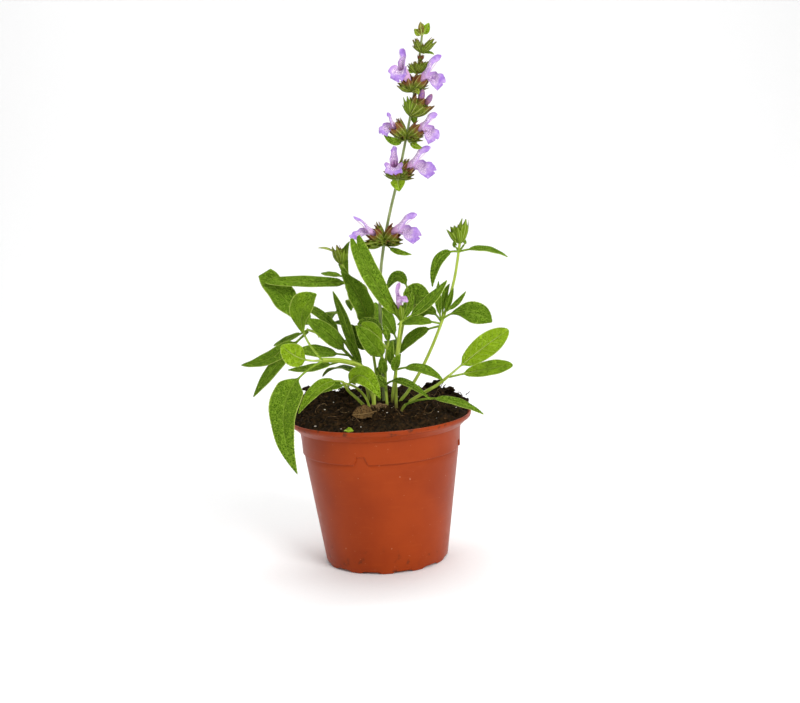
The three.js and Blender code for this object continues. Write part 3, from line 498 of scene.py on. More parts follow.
# %% Leaf blanks
def finish_mesh(piece, within=1e-6):
    """Merges doubled points and turns every face outwards."""
    pick(piece)
    edit("SELECT")
    bpy.ops.mesh.remove_doubles(threshold=within)
    bpy.ops.mesh.normals_make_consistent(inside=False)
    leave_edit()


def put_by(blank):
    """Takes a finished blank out of the scene. It stays on the shelf for copying."""
    for shelf in list(blank.users_collection):
        shelf.objects.unlink(blank)
    return blank


def flat_sheet(name, columns, rows):
    """A grid with no thickness, from -1 to 1 across and from 0 to 1 along."""
    clear_selection()
    bpy.ops.mesh.primitive_grid_add(x_subdivisions=columns, y_subdivisions=rows, size=2)
    blank = bpy.context.object
    blank.name = name
    edit()
    bpy.ops.transform.resize(value=(1, 0.5, 1))
    bpy.ops.transform.translate(value=(0, 0.5, 0))
    leave_edit()
    return blank


def leaf_blank(name, columns, rows):
    blank = flat_sheet(name, columns, rows)
    apply_modifier(blank, "SOLIDIFY", thickness=2, offset=0)
    for material in LEAF_FINISHES:
        blank.data.materials.append(material)
    for face in blank.data.polygons:
        face.material_index = 0 if face.normal.z > 0.5 else 1 if face.normal.z < -0.5 else 2
    return put_by(blank)


BIG_LEAF = leaf_blank("big_leaf_blank", 16, 112)
MIDDLING_LEAF = leaf_blank("middling_leaf_blank", 12, 60)
SMALL_LEAF = leaf_blank("small_leaf_blank", 8, 26)
print("faces of the leaf blanks:", [len(b.data.polygons) for b in (BIG_LEAF, MIDDLING_LEAF, SMALL_LEAF)])

# %% Stem blanks
def tube_blank(name, sides, rows, closed=True):
    clear_selection()
    bpy.ops.mesh.primitive_circle_add(vertices=sides, radius=1, fill_type="NGON" if closed else "NOTHING")
    blank = bpy.context.object
    blank.name = name
    edit()
    for _ in range(rows):
        bpy.ops.mesh.extrude_region_move(TRANSFORM_OT_translate={"value": (0, 0, 1 / rows)})
    leave_edit()
    finish_mesh(blank)
    return put_by(blank)


STEM_BLANK = tube_blank("stem_blank", 16, 48)
THREAD_BLANK = tube_blank("thread_blank", 5, 7)
print("stem blank:", len(STEM_BLANK.data.polygons), "faces; thread:", len(THREAD_BLANK.data.polygons))

# %% [markdown]
# ## Laying a blank
# The helpers below copy a blank, each copy with its own mesh, move its vertices to their new
# places, and write the attributes that the finishes read. A stem's section is not round but a
# square with soft corners, as in all plants of the mint family.

# %% Copy a blank to new places
def coordinates(blank):
    flat = np.empty(len(blank.data.vertices) * 3, np.float32)
    blank.data.vertices.foreach_get("co", flat)
    return flat.reshape(-1, 3).astype(float)


def copy_of(blank, name):
    """A copy of the blank, with a mesh of its own, in the scene."""
    piece = bpy.data.objects.new(name, blank.data.copy())
    bpy.context.scene.collection.objects.link(piece)
    return piece


def move_points(mesh, places):
    mesh.vertices.foreach_set("co", places.astype(np.float32).ravel())


def triples(first, second, third):
    """Three values for each vertex. Any of them may be one number for all."""
    return np.stack(np.broadcast_arrays(first, second, third), 1)


def laid_copy(blank, name, places, blade_mm, blade_share, vein=0.0):
    """A copy of the blank with its vertices at `places`, in millimetres."""
    piece = copy_of(blank, name)
    mesh = piece.data
    move_points(mesh, places * MM)
    for key, values in (("blade_mm", blade_mm), ("blade_share", blade_share)):
        layer = mesh.attributes.new(key, "FLOAT_VECTOR", "POINT")
        layer.data.foreach_set("vector", np.asarray(values, np.float32).ravel())
    layer = mesh.attributes.new("vein", "FLOAT", "POINT")
    layer.data.foreach_set("value", np.broadcast_to(vein, len(places)).astype(np.float32))
    mesh.update()
    return piece


def smooth(low, high, value):
    share = np.clip((value - low) / (high - low), 0, 1)
    return share * share * (3 - 2 * share)


def rings(points, first, second, angle, radius):
    """Places on a ring about each point, at an angle that starts at the first direction."""
    return points + first * (radius * np.cos(angle))[:, None] + second * (radius * np.sin(angle))[:, None]


print("stem blank vertices:", len(coordinates(STEM_BLANK)))


# %% Lay a stem
CORNER_SHARPNESS = 4
SQUARE_REACH = 0.80
CORNER_REACH = 0.9
SEEDS = 500


def lay_stem(joints, radii, material, blank=STEM_BLANK, foot=0.0, square=True):
    """A stem through its joints. `radii` is its radius at the start and the end, and `foot` is
    the length of its woody start."""
    x, y, rise = coordinates(blank).T
    points, headings, sides, length = along_line(smooth_route(joints), rise)
    angle = np.arctan2(y, x)
    reach = np.hypot(x, y)
    if square:
        corner = (np.abs(np.cos(angle)) ** CORNER_SHARPNESS
                  + np.abs(np.sin(angle)) ** CORNER_SHARPNESS) ** (-1 / CORNER_SHARPNESS)
        reach = reach * (SQUARE_REACH + CORNER_REACH * (corner - 1))
    radius = (radii[0] + (radii[1] - radii[0]) * rise) * reach
    places = rings(points, sides, np.cross(headings, sides), angle, radius)
    woody = 1 - smooth(foot * 0.5, foot, rise * length) if foot else 0.0
    piece = laid_copy(blank, "stem", places,
                      triples(angle * radii[0], rise * length, dice.uniform(0, SEEDS)),
                      triples(0.0, rise, woody))
    piece.data.materials.append(material)
    return piece


print("a stem is ready to lay")

# %% [markdown]
# ## The shape of a leaf
# The outline says how wide the blade is at each share of its length. On top of it come the
# things that make a leaf look alive: the two halves fold up from the rib, the edge ripples and
# is cut into small round teeth, the side veins press grooves that leave pillows between them,
# and the rib shows as a furrow above and a ridge below. Where the blade ends, the same rows
# close round into a stalk.

# %% Outlines
def sage_outline(along):
    return np.sin(np.pi * along**0.82) ** 0.78


def round_outline(along):
    return np.sin(np.pi * along**0.95) ** 0.6


def heart_outline(along):
    """Broadest near its foot."""
    return np.sin(np.pi * along**0.6) ** 0.75


def spade_outline(along):
    """Broadest past the middle."""
    return np.sin(np.pi * along**1.5) ** 0.85


def blunt_outline(along):
    """A tip that ends nearly as broad as the blade."""
    return np.sin(np.pi * (0.86 * along) ** 0.9) ** 0.6


def strap_outline(along):
    """Both edges run side by side for most of the way."""
    return np.sin(np.pi * along**0.85) ** 0.4


def spear_outline(along):
    """Narrow at its foot, with broad shoulders and a long point."""
    return heart_outline(along) * smooth(0, 0.2, along)


print("a sage leaf is broadest at", round(float(np.argmax(sage_outline(np.linspace(0, 1, 101))) / 100), 2))


# %% Rows, teeth and veins of a blade
STALK_ROWS = 0.14
GROWN_LENGTH = 45
MIDDLING_LENGTH = 22
TOOTH_LENGTH = 1.9
TOOTH_DEPTH = 0.34
FEWEST_TEETH = 6
VEIN_APART = 5.2
FEWEST_VEINS, MOST_VEINS = 4, 13
VEIN_SLANT = 0.62
VEIN_CURVE = 0.035


def blank_for(length):
    return BIG_LEAF if length > GROWN_LENGTH else MIDDLING_LEAF if length > MIDDLING_LENGTH else SMALL_LEAF


def blade_rows(row, petiole):
    """Each row's share of the blade and of the whole rib. Rows crowd at both ends of the blade."""
    part = np.clip((row - STALK_ROWS) / (1 - STALK_ROWS), 0, 1)
    along = 0.3 * part + 0.7 * (1 - np.cos(np.pi * part)) / 2
    return along, np.where(row < STALK_ROWS, petiole * row / STALK_ROWS, petiole + (1 - petiole) * along)


def scallops(along, length, width):
    """How far each tooth stands out of the edge."""
    count = max(FEWEST_TEETH, round(length / TOOTH_LENGTH))
    return min(1, width / 9) * TOOTH_DEPTH * (np.abs(np.sin(np.pi * count * along)) - 0.6)


def side_veins(along, mm_across, length):
    """A count that passes a whole number at each side vein."""
    spacing = length / np.clip(length / VEIN_APART, FEWEST_VEINS, MOST_VEINS)
    return (along * length - VEIN_SLANT * np.abs(mm_across) - VEIN_CURVE * mm_across**2) / spacing


print("a blade of 60 mm has", round(60 / TOOTH_LENGTH), "teeth on each side")


# %% Relief of a blade
PILLOW = 0.26
RIPPLE = 0.05
FURROW = 0.35
RIDGE = 0.55
EDGE_THICKNESS = 0.19
RIB_THICKNESS = 0.05
EDGE_DROP = 0.02


def blade_relief(across, along, sheet_side, mm_across, half, width, vein, seed, fold, wave, steps):
    """Height over the rib's plane: the fold, the waves, the pillows and the rib."""
    out, hand = np.abs(across), np.sign(across)
    pillow = (PILLOW * min(1, width / 14) * np.abs(np.sin(np.pi * vein)) ** 0.8 * (1 - out**3)
              * smooth(0.0, 0.25, out))
    lift = wave * np.sin(along * steps * 1.9) * hand * out**1.4
    ripple = RIPPLE * width * min(1, 0.4 + wave) * np.sin(along * 17 + seed + hand) * out**2.5
    rib = np.exp(-(mm_across / (0.35 + 0.03 * width)) ** 2) * (1 - 0.7 * along)
    thick = EDGE_THICKNESS + RIB_THICKNESS * (1 - out)
    return (fold * half * out**1.25 + lift + (ripple + pillow) * smooth(0, 0.15, along) * (1 - along**6)
            - FURROW * rib * min(1, width / 12) + sheet_side * thick
            - np.where(sheet_side < 0, RIDGE * rib * min(1, 0.3 + width / 16), 0)
            - EDGE_DROP * width * out**6)


print("relief ready")


# %% Lay a leaf
STALK_HALF = 0.36
NOTCH_HALF = 0.35


def leaf(start, through, tip, width, face, tone=0.0, petiole=0.16, fold=0.18, wave=0.0, steps=6,
         outline=sage_outline, stalk=2.0, teeth=1.0, skew=0.0, notch=0.0):
    """One leaf along the rib from `start` through `through` to `tip`. `face` is the way its upper
    side looks, and `tone` is from -1, dark, to 1, young. `skew` makes one half the broader, and
    `notch` forks the tip."""
    length = np.linalg.norm(np.subtract(through, start)) + np.linalg.norm(np.subtract(tip, through))
    blade_length = length * (1 - petiole)
    blank = blank_for(length)
    across, row, sheet_side = coordinates(blank).T
    out, hand = np.abs(across), np.sign(across)
    along, at = blade_rows(row, petiole)
    at = at - notch * np.exp(-((across / NOTCH_HALF) ** 2)) * smooth(0.8, 1, along)
    points, headings = rib_at(start, through, tip, at)
    normals = square_to(headings, face)
    before_blade = (1 - row / STALK_ROWS).clip(0, 1)
    round_stalk = 1 - smooth(0.0, 0.1, along)
    blade_half = width / 2 * outline(np.clip(along, 1e-4, 1 - 1e-4))
    half = np.hypot(blade_half, np.interp(along, [0, 0.2, 1], [stalk * STALK_HALF, 0.5, 0.12]))
    seed = dice.uniform(0, SEEDS)
    mm_across = hand * out**1.3 * half * (1 + skew * hand)
    vein = side_veins(along, mm_across, blade_length)
    scallop = teeth * scallops(along, blade_length, width) * (1 - round_stalk) * out**7
    relief = blade_relief(across, along, sheet_side, mm_across, half, width, vein, seed, fold, wave, steps)
    stalk_across = STALK_HALF * stalk * (1 + 0.25 * before_blade) * np.sin(across * np.pi / 2)
    stalk_height = sheet_side * (0.08 + STALK_HALF * stalk * np.cos(across * np.pi / 2))
    place_across = round_stalk * stalk_across + (1 - round_stalk) * (mm_across + hand * scallop)
    height = round_stalk * stalk_height + (1 - round_stalk) * relief
    places = points + np.cross(headings, normals) * place_across[:, None] + normals * height[:, None]
    return laid_copy(blank, "leaf", places,
                     triples(mm_across, along * blade_length - before_blade * petiole * length, seed),
                     triples(out, along, tone + dice.uniform(-0.18, 0.18)), vein)


print("a leaf is ready to lay")

# %% Join pieces and hand a piece over
def join(pieces, name):
    """One object of several, named."""
    clear_selection()
    for piece in pieces:
        piece.select_set(True)
    bpy.context.view_layer.objects.active = pieces[0]
    if len(pieces) > 1:
        bpy.ops.object.join()
    pieces[0].name = name
    pieces[0].data.name = name
    return pieces[0]


PLANT_LEAN = math.radians(2.32)
PLANT_SHIFT = (1.0, 3.8, -2.1)
PLANT_PLACE = Matrix.Translation(Vector(PLANT_SHIFT) * MM) @ Matrix.Rotation(PLANT_LEAN, 4, "X")


def hand_over(piece, node, angle=45, of_plant=True):
    """The last step for every piece: soft shading, its body, and what it replaces.
    What is of the plant leans back with it."""
    if of_plant:
        piece.data.transform(PLANT_PLACE)
    pick(piece)
    bpy.ops.object.shade_smooth_by_angle(angle=math.radians(angle))
    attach(piece, "root")
    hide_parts(node)
    piece.data.calc_loop_triangles()
    print(piece.name, len(piece.data.loop_triangles), "triangles")


print("joining and handing over are ready")

# %% [markdown]
# ## The flower cup
# The green cup that holds a sage flower is a ribbed bell with five pointed teeth. Its blank is a
# tube of thirty sides whose top edge is drawn into points. The tube is open at the mouth, so the
# inside shows, and Solidify gives it a wall.

# %% Flower cup blank
CUP_SIDES = 30
CUP_ROWS = 11
CUP_HEIGHT = 11.0
CUP_REFERENCE = 9.0
CUP_TEETH = 5
CUP_TOOTH_SHARE = 0.38
CUP_BELL = ((0, 0.9, 2.5, 4.5, 7.5, 11), (0.55, 1.35, 2.2, 2.8, 3.3, 3.7))
CUP_WALL = 0.22


def close_foot(blank):
    """Fills the ring at the foot of a tube."""
    pick(blank)
    edit("DESELECT")
    leave_edit()
    for vertex in blank.data.vertices:
        vertex.select = vertex.co.z < 0.01
    edit()
    bpy.ops.mesh.edge_face_add()
    leave_edit()


def cup_blank():
    blank = tube_blank("cup_blank", CUP_SIDES, CUP_ROWS, closed=False)
    bpy.context.scene.collection.objects.link(blank)
    x, y, row = coordinates(blank).T
    angle = np.arctan2(y, x)
    near_tooth = np.abs((angle / (2 * np.pi) * CUP_TEETH + 0.5) % 1 - 0.5) * 2
    height = row * (1 - CUP_TOOTH_SHARE * near_tooth**0.7) * CUP_HEIGHT
    ribs = 1 + 0.08 * np.cos(angle * CUP_RIB_COUNT) * smooth(0.1, 0.3, row) * (1 - smooth(0.75, 1, row))
    radius = np.interp(height, *CUP_BELL) * ribs
    move_points(blank.data, triples(radius * np.cos(angle), radius * np.sin(angle), height))
    share = blank.data.attributes.new("blade_share", "FLOAT_VECTOR", "POINT")
    values = triples(angle / (2 * np.pi) + 0.5, height / CUP_HEIGHT, 0.0)
    share.data.foreach_set("vector", values.astype(np.float32).ravel())
    close_foot(blank)
    apply_modifier(blank, "SOLIDIFY", thickness=CUP_WALL, offset=0)
    blank.data.materials.append(flower_cup)
    return put_by(blank)


CUP_BLANK = cup_blank()
print("cup blank:", len(CUP_BLANK.data.polygons), "faces")


# %% Lay a flower cup
def cross_frame(axis, towards):
    """Two directions square to an axis, the first as near to `towards` as it can be."""
    first = unit(np.array(towards, float) - axis * axis.dot(towards))
    return first, np.cross(axis, first)


def cup(base, mouth, girth=1.0, tone=0.0, closed=0.0):
    """A flower cup from `base` to `mouth`. `girth` under 1 is the slender cup of a closed bud, and
    `closed` draws its teeth together."""
    axis = np.subtract(mouth, base).astype(float)
    scale = np.linalg.norm(axis) / CUP_REFERENCE
    axis = unit(axis)
    first, second = cross_frame(axis, (1, 0, 0) if abs(axis[2]) > 0.95 else (0, 0, 1))
    x, y, z = coordinates(CUP_BLANK).T
    drawn = scale * girth * (1 - closed * smooth(0.45, 1.05, z / CUP_HEIGHT))
    bulge = 1 + 0.10 * np.sin(z * 0.5 + tone)
    places = (np.array(base, float) + first * (x * drawn * bulge)[:, None]
              + second * (y * drawn)[:, None] + axis * (z * scale)[:, None])
    piece = copy_of(CUP_BLANK, "cup")
    move_points(piece.data, places * MM)
    for share in piece.data.attributes["blade_share"].data:
        share.vector.z = tone
    return piece


print("a cup is ready to lay")

# %% [markdown]
# ## The flower
# A sage flower is a tube that splits into two lips: a narrow hood above, and below a broad
# landing place with two side lobes and a notched middle lobe. Three sheets make it: one rolled
# into the tube, one for each lip. Each lip starts as half of the tube's mouth, so that once the
# doubled points are merged the flower is one skin. Two stamens stand under the hood.

# %% Petal blanks
LIP_COLUMNS = 16
TUBE_BLANK = put_by(flat_sheet("petal_tube_blank", 2 * LIP_COLUMNS, 9))
HOOD_BLANK = put_by(flat_sheet("hood_blank", LIP_COLUMNS, 14))
LIP_BLANK = put_by(flat_sheet("lip_blank", LIP_COLUMNS, 22))
print("petal blanks:", [len(b.data.polygons) for b in (TUBE_BLANK, HOOD_BLANK, LIP_BLANK)])


# %% Shape of the two lips
HOOD_ROWS = (0, 0.14, 0.3, 0.55, 0.8, 0.93, 1)
HOOD_HALVES = (0.31, 0.21, 0.20, 0.25, 0.22, 0.12)
HOOD_ARC = ((0, 0.3, 1), (np.pi / 2, 1.3, 1.05))
LOWER_ROWS = (0, 0.1, 0.22, 0.36, 0.5, 0.7, 0.88, 1)
LOWER_HALVES = (0.58, 0.70, 0.56, 0.62, 0.66, 0.58, 0.34)
LOWER_ARC = ((0, 0.2, 0.45, 0.7, 1), (np.pi / 2, 1.0, 0.35, -0.35, -0.75))


def hood_shape(share, row, lip, gape, seed):
    """The hood narrows from the tube to a strap and ends round."""
    half = lip * np.interp(row, HOOD_ROWS, (gape, *HOOD_HALVES))
    raised = 0.12 * np.sin(row * 9) * share**2
    return half, np.interp(row, *HOOD_ARC), raised, row - 0.07 * share**2 * smooth(0.4, 1, row)


def lower_shape(share, row, lip, gape, seed):
    """The lower lip has a small lobe on each side near the throat and two broad lobes at its end."""
    half = lip * np.interp(row, LOWER_ROWS, (gape, *LOWER_HALVES))
    notch = 0.2 * np.exp(-((share / 0.17) ** 2)) * smooth(0.6, 1, row)
    rounded = 0.36 * np.abs(share) ** 3 * smooth(0.5, 1, row)
    frill = 0.05 * np.sin(share * 9 + seed) * smooth(0.45, 1, row) * np.abs(share)
    crease = 0.06 * np.exp(-((share / 0.2) ** 2)) * smooth(0.1, 0.3, row) * (1 - smooth(0.5, 0.8, row))
    ripple = 0.03 * np.sin(row * 14) * share**2 * smooth(0.0, 0.2, row)
    at = np.clip(row - notch - rounded, 0, 1)
    return half, np.interp(row, *LOWER_ARC), lip * (frill + ripple - crease), at


print("the lower lip's side lobes reach", max(LOWER_HALVES), "of its length to each side")


# %% Lay a lip
VIEWER = np.array((0, -1, 0.3))
FLAT_ARC = 0.02


def arc_section(share, half, arc):
    """Across and inward places of a section that is an arc of `arc` radians to each side."""
    flat = np.abs(arc) < FLAT_ARC
    safe = np.where(flat, FLAT_ARC, arc)
    across = np.where(flat, half * share, half * np.sin(safe * share) / np.sin(safe))
    inward = np.where(flat, 0.0, half * (1 - np.cos(safe * share)) / np.sin(safe))
    return across, inward


def lip_sheet(blank, shape, start, bend, tip, right, outward, lip, gape, show, seed, pink):
    """A lip along the bend from `start` to `tip`. `shape` gives, for share across and along, the
    half width, the arc, the raise off the sheet and the share of the bend. The first row lies on
    the tube's rim, and `show` from 0 to 1 turns the rest of the lip's breadth to the front."""
    share, row, _ = coordinates(blank).T
    half, arc, raised, at = shape(share, row, lip, gape, seed)
    points, headings = rib_at(start, bend, tip, at)
    spread = unit(np.cross(VIEWER, headings))
    spread *= 1 if (spread @ right).sum() > 0 else -1
    turned = (show * smooth(0.08, 0.5, row))[:, None]
    sides = right * (1 - turned) + spread * turned
    free = smooth(0.0, 0.25, row)[:, None]
    sides = unit(sides - free * headings * (sides * headings).sum(1)[:, None])
    outwards = unit(outward * (1 - free) + unit(np.cross(sides, headings)) * free)
    across, inward = arc_section(share, half, arc)
    places = points + sides * across[:, None] - outwards * (inward + raised)[:, None]
    length = np.linalg.norm(np.subtract(tip, start))
    return laid_copy(blank, "lip", places, triples(across, at * length, seed), triples(share, 1 + row, pink))


print("a lip is ready to lay")


# %% Lay a flower's tube
FLOWER_FOOT = 4.2
TUBE_SWELL = ((0, 0.3, 0.65, 1), (0.10, 0.22, 0.31))
PETAL_THICKNESS = 0.22


def petal_tube(foot, mouth, throat, high, lip, gape, seed, pink):
    """The tube from its foot in the cup, through the cup's mouth, to the throat."""
    share, row, _ = coordinates(TUBE_BLANK).T
    angle = share * np.pi
    points, headings = rib_at(foot, foot * 0.25 + mouth * 0.5 + throat * 0.25, throat, row)
    tops = square_to(headings, high)
    radius = lip * np.interp(row, TUBE_SWELL[0], (*TUBE_SWELL[1], gape))
    ribbed = radius * (1 + 0.05 * np.cos(angle * 9) * smooth(0.2, 0.5, row) * (1 - smooth(0.8, 1, row)))
    return laid_copy(TUBE_BLANK, "tube", rings(points, tops, np.cross(headings, tops), angle, ribbed),
                     triples(angle * 2.5, row * 9, seed), triples(share, row, pink))


def petal_skin(pieces, name):
    """The tube and the lips as one skin with a thickness."""
    skin = join(pieces, name)
    skin.data.materials.append(petal)
    finish_mesh(skin, within=1e-5)
    apply_modifier(skin, "SOLIDIFY", thickness=PETAL_THICKNESS * MM, offset=0)
    return skin


print("tubes are ready")


# %% Lay a flower
STAMEN_APART = 0.55


def flower(base, mouth, upper, lower, name, lip=10.0, reach=0.18, gape=0.42, show=1.0, pink=0.0):
    """One corolla in the cup from `base` to `mouth`, with its hood's tip at `upper` and the end of
    its lower lip at `lower`. `reach` is the share of the way out at which the tube splits, and
    `gape` its radius there, as a share of `lip`."""
    base, mouth, upper, lower = (np.array(p, float) for p in (base, mouth, upper, lower))
    scale = np.linalg.norm(mouth - base) / CUP_REFERENCE
    foot = base + unit(mouth - base) * FLOWER_FOOT * scale
    ends = (upper + lower) / 2
    throat = mouth + (ends - mouth) * reach
    onward = unit(ends - mouth)
    high, _ = cross_frame(onward, unit(upper - lower) + np.array((0, -0.5, 0)))
    right = np.cross(onward, high)
    look = {"lip": lip, "gape": gape, "seed": dice.uniform(0, SEEDS), "pink": pink}
    tube = petal_tube(foot, mouth, throat, high, **look)
    top, bottom = throat + high * gape * lip, throat - high * gape * lip
    hood = lip_sheet(HOOD_BLANK, hood_shape, top, (top + upper) / 2 + high * 0.2 * lip, upper,
                     right, high, show=show, **look)
    landing = lip_sheet(LIP_BLANK, lower_shape, bottom, (bottom + lower) / 2 + onward * 0.16 * lip, lower,
                        -right, -high, show=show, **look)
    pieces = [petal_skin([tube, hood, landing], name)]
    for lean in (-STAMEN_APART, STAMEN_APART):
        tip = upper - high * 1.2 - onward * 1.5 + right * lean
        line = [throat - high * 0.5 + right * lean * 2, (throat + tip) / 2 + right * lean, tip]
        pieces.append(lay_stem(line, (0.16, 0.12), petal, blank=THREAD_BLANK, square=False))
    return join(pieces, name)


print("a flower is ready to lay")


# %% Lay a closed flower bud
BUD_SWELL = ((0, 0.2, 0.45, 0.7, 0.9, 1), (0.5, 0.85, 1.0, 0.85, 0.5, 0.03))
BUD_TONE = 2.2


def closed_bud(mouth, tip, girth):
    """A bud not yet open: a skin that swells out of the cup's mouth and closes at `tip`."""
    share, row, _ = coordinates(TUBE_BLANK).T
    angle = share * np.pi
    mouth, tip = np.array(mouth, float), np.array(tip, float)
    first, second = cross_frame(unit(tip - mouth), (0, -1, 0))
    radius = girth * np.interp(row, *BUD_SWELL) * (1 + 0.12 * np.cos(angle * 2))
    middle = mouth + (tip - mouth) * (row * 1.3 - 0.3)[:, None]
    bud = laid_copy(TUBE_BLANK, "bud", rings(middle, first, second, angle, radius),
                    triples(angle * 2, row * 6, girth), triples(share, 0.6 + row * 0.9, BUD_TONE))
    bud.data.materials.append(petal)
    finish_mesh(bud)
    return bud


print("a bud is ready to lay")

# %% [markdown]
# ## The pot
# A nursery pot is thin moulded plastic: a tapering body, a wider collar above a small step, and
# a rolled lip. Its profile is a short chain of points. Pulling one point along the profile and
# spinning the chain about the pot's middle gives the whole wall with both sides at once, as a
# potter's lathe would. Three things aren't round: the step rises over a stacking notch, the foot
# ring is cut into scallops, and the floor has drain holes.

# %% Sizes of the pot
POT_HEIGHT = 113
RIM_RADIUS = 70
LIP_FOOT = 104.5
LIP_BEAD = 109.5
COLLAR_FLARE = 1.2
STEP_HEIGHT = 86.5
STEP_RADIUS = 59.4
STEP_DEPTH = 1.0
STEP_GROOVE = 0.6
BASE_RADIUS = 46.9
WALL = 1.5
FOOT_HEIGHT = 1.6
FOOT_INSIDE = BASE_RADIUS - 2.6
CENTRE_FOOT_RADIUS = 8
FLOOR = 1.6
FLOOR_TOP = FOOT_HEIGHT + FLOOR
STEP_EDGE = STEP_RADIUS + STEP_DEPTH
COLLAR_TOP = STEP_EDGE + COLLAR_FLARE
CHAMFER = 0.4


def wall_radius(height):
    return BASE_RADIUS + (STEP_RADIUS - BASE_RADIUS) * height / STEP_HEIGHT


def inside_radius(height):
    above = max(0, height - STEP_HEIGHT) / (LIP_FOOT - STEP_HEIGHT)
    return wall_radius(min(height, STEP_HEIGHT)) - WALL + above * (STEP_DEPTH + COLLAR_FLARE)


print("the pot is", 2 * RIM_RADIUS, "mm across its lip and", 2 * BASE_RADIUS, "mm across its foot")


# %% The pot's profile
POT_PROFILE = [
    # underside and foot ring
    (CENTRE_FOOT_RADIUS - CHAMFER, 0), (CENTRE_FOOT_RADIUS, CHAMFER), (CENTRE_FOOT_RADIUS, FOOT_HEIGHT),
    (20, FOOT_HEIGHT), (31, FOOT_HEIGHT), (41, FOOT_HEIGHT), (FOOT_INSIDE, FOOT_HEIGHT),
    (FOOT_INSIDE, CHAMFER), (FOOT_INSIDE + CHAMFER, 0), (BASE_RADIUS - 0.6, 0), (BASE_RADIUS - 0.1, 0.5),
    # wall, with a shallow groove under the step
    *[(wall_radius(height), height) for height in (3, 8, 30, 60, STEP_HEIGHT - 6)],
    (wall_radius(STEP_HEIGHT - 2) - 0.05, STEP_HEIGHT - 2),
    (STEP_RADIUS - STEP_GROOVE - 0.1, STEP_HEIGHT - 0.7), (STEP_RADIUS - STEP_GROOVE, STEP_HEIGHT),
    # step and collar
    (STEP_EDGE - 0.3, STEP_HEIGHT), (STEP_EDGE, STEP_HEIGHT + 0.4), (STEP_EDGE + 0.1, STEP_HEIGHT + 2),
    (STEP_EDGE + 0.4, STEP_HEIGHT + 9.5), (COLLAR_TOP - 0.1, LIP_FOOT - 2),
    (COLLAR_TOP + 0.1, LIP_FOOT - 0.5), (COLLAR_TOP + 1.5, LIP_FOOT - 0.3),
    (COLLAR_TOP + 2.0, LIP_FOOT + 0.3),
    # lip
    *[(RIM_RADIUS - inwards, LIP_BEAD + above) for inwards, above in (
        (2.0, -0.7), (1.9, -0.2), (1.1, -0.3), (0.6, 0.2), (0.2, 1.2), (0, 2.2))],
    *[(RIM_RADIUS - inwards, POT_HEIGHT - below) for inwards, below in (
        (0.25, 0.25), (0.8, 0), (1.4, 0.2), (2.4, 1.4))],
    (RIM_RADIUS - 4.5, LIP_BEAD - 0.9),
    # inside
    *[(inside_radius(height), height) for height in (LIP_FOOT, STEP_HEIGHT, 40, FLOOR_TOP)],
    (20, FLOOR_TOP), (0, FLOOR_TOP),
]
print("pot profile:", len(POT_PROFILE), "points")


# %% Spin the pot
SPIN_STEPS = 256


def spun(name, profile):
    """A profile of (radius, height) pulled out point by point from the middle, then spun about it."""
    clear_selection()
    bpy.ops.mesh.primitive_plane_add(size=1)
    piece = bpy.context.object
    piece.name = name
    edit("SELECT")
    bpy.ops.mesh.merge(type="CENTER")
    at = (0, 0)
    for radius, height in profile:
        move = ((radius - at[0]) * MM, 0, (height - at[1]) * MM)
        bpy.ops.mesh.extrude_region_move(TRANSFORM_OT_translate={"value": move})
        at = (radius, height)
    bpy.ops.mesh.select_all(action="SELECT")
    bpy.ops.mesh.spin(steps=SPIN_STEPS, angle=2 * math.pi, center=(0, 0, 0), axis=(0, 0, 1))
    finish_mesh(piece)
    return piece


pot = spun("pot_body", POT_PROFILE)
print("pot:", len(pot.data.vertices), "points")


# %% Raise the step over each notch and scallop the foot
NOTCH_TURNS = (-104, -14, 76, 166)
NOTCH_FOOT = 10
NOTCH_TOP = 6
NOTCH_HEIGHT = 6
FOOT_COUNT = 12


def arc_from(turn_here, degrees):
    """Distance along the step from a turn, in millimetres."""
    apart = (math.degrees(turn_here) - degrees + 180) % 360 - 180
    return abs(math.radians(apart)) * STEP_RADIUS


def over_notch(turn_here, out, height):
    """Lifts the step's edge where a notch is, and moves it out with the tapering wall."""
    near = min(arc_from(turn_here, notch) for notch in NOTCH_TURNS)
    lift = NOTCH_HEIGHT * min(1, max(0, (NOTCH_FOOT / 2 - near) / ((NOTCH_FOOT - NOTCH_TOP) / 2)))
    taper = (STEP_RADIUS - BASE_RADIUS) / STEP_HEIGHT if out < STEP_RADIUS + 0.1 else 0.06
    return out + lift * taper, height + lift


def scalloped(turn_here, height):
    """Raises the foot ring between its twelve feet."""
    wave = (math.degrees(turn_here) / 360 * FOOT_COUNT) % 1
    gap = float(smooth(0.22, 0.34, abs(wave - 0.5)))
    return height + (FOOT_HEIGHT - 0.02) * (1 - gap) * (1 - height / FOOT_HEIGHT)


for point in pot.data.vertices:
    x, y, z = (c / MM for c in point.co)
    out, turn_here = math.hypot(x, y), math.atan2(y, x)
    if STEP_HEIGHT - 1 < z < STEP_HEIGHT + 2.5 and out > STEP_RADIUS - STEP_GROOVE - 0.2:
        out, z = over_notch(turn_here, out, z)
    if z < 0.6 and out > FOOT_INSIDE - 0.1:
        z = scalloped(turn_here, z)
    point.co = (out * math.cos(turn_here) * MM, out * math.sin(turn_here) * MM, z * MM)
print("notches at", NOTCH_TURNS)

# %% [markdown]
# The drain holes are cut by a Boolean modifier: one cutter of eight short rods is taken away
# from the floor. It is simpler than shaping the holes by hand, and a floor has no soft shading
# that a Boolean could spoil.

# %% Cut the drain holes
DRAIN_COUNT = 8
DRAIN_RADIUS = 4
DRAIN_CIRCLE = 36

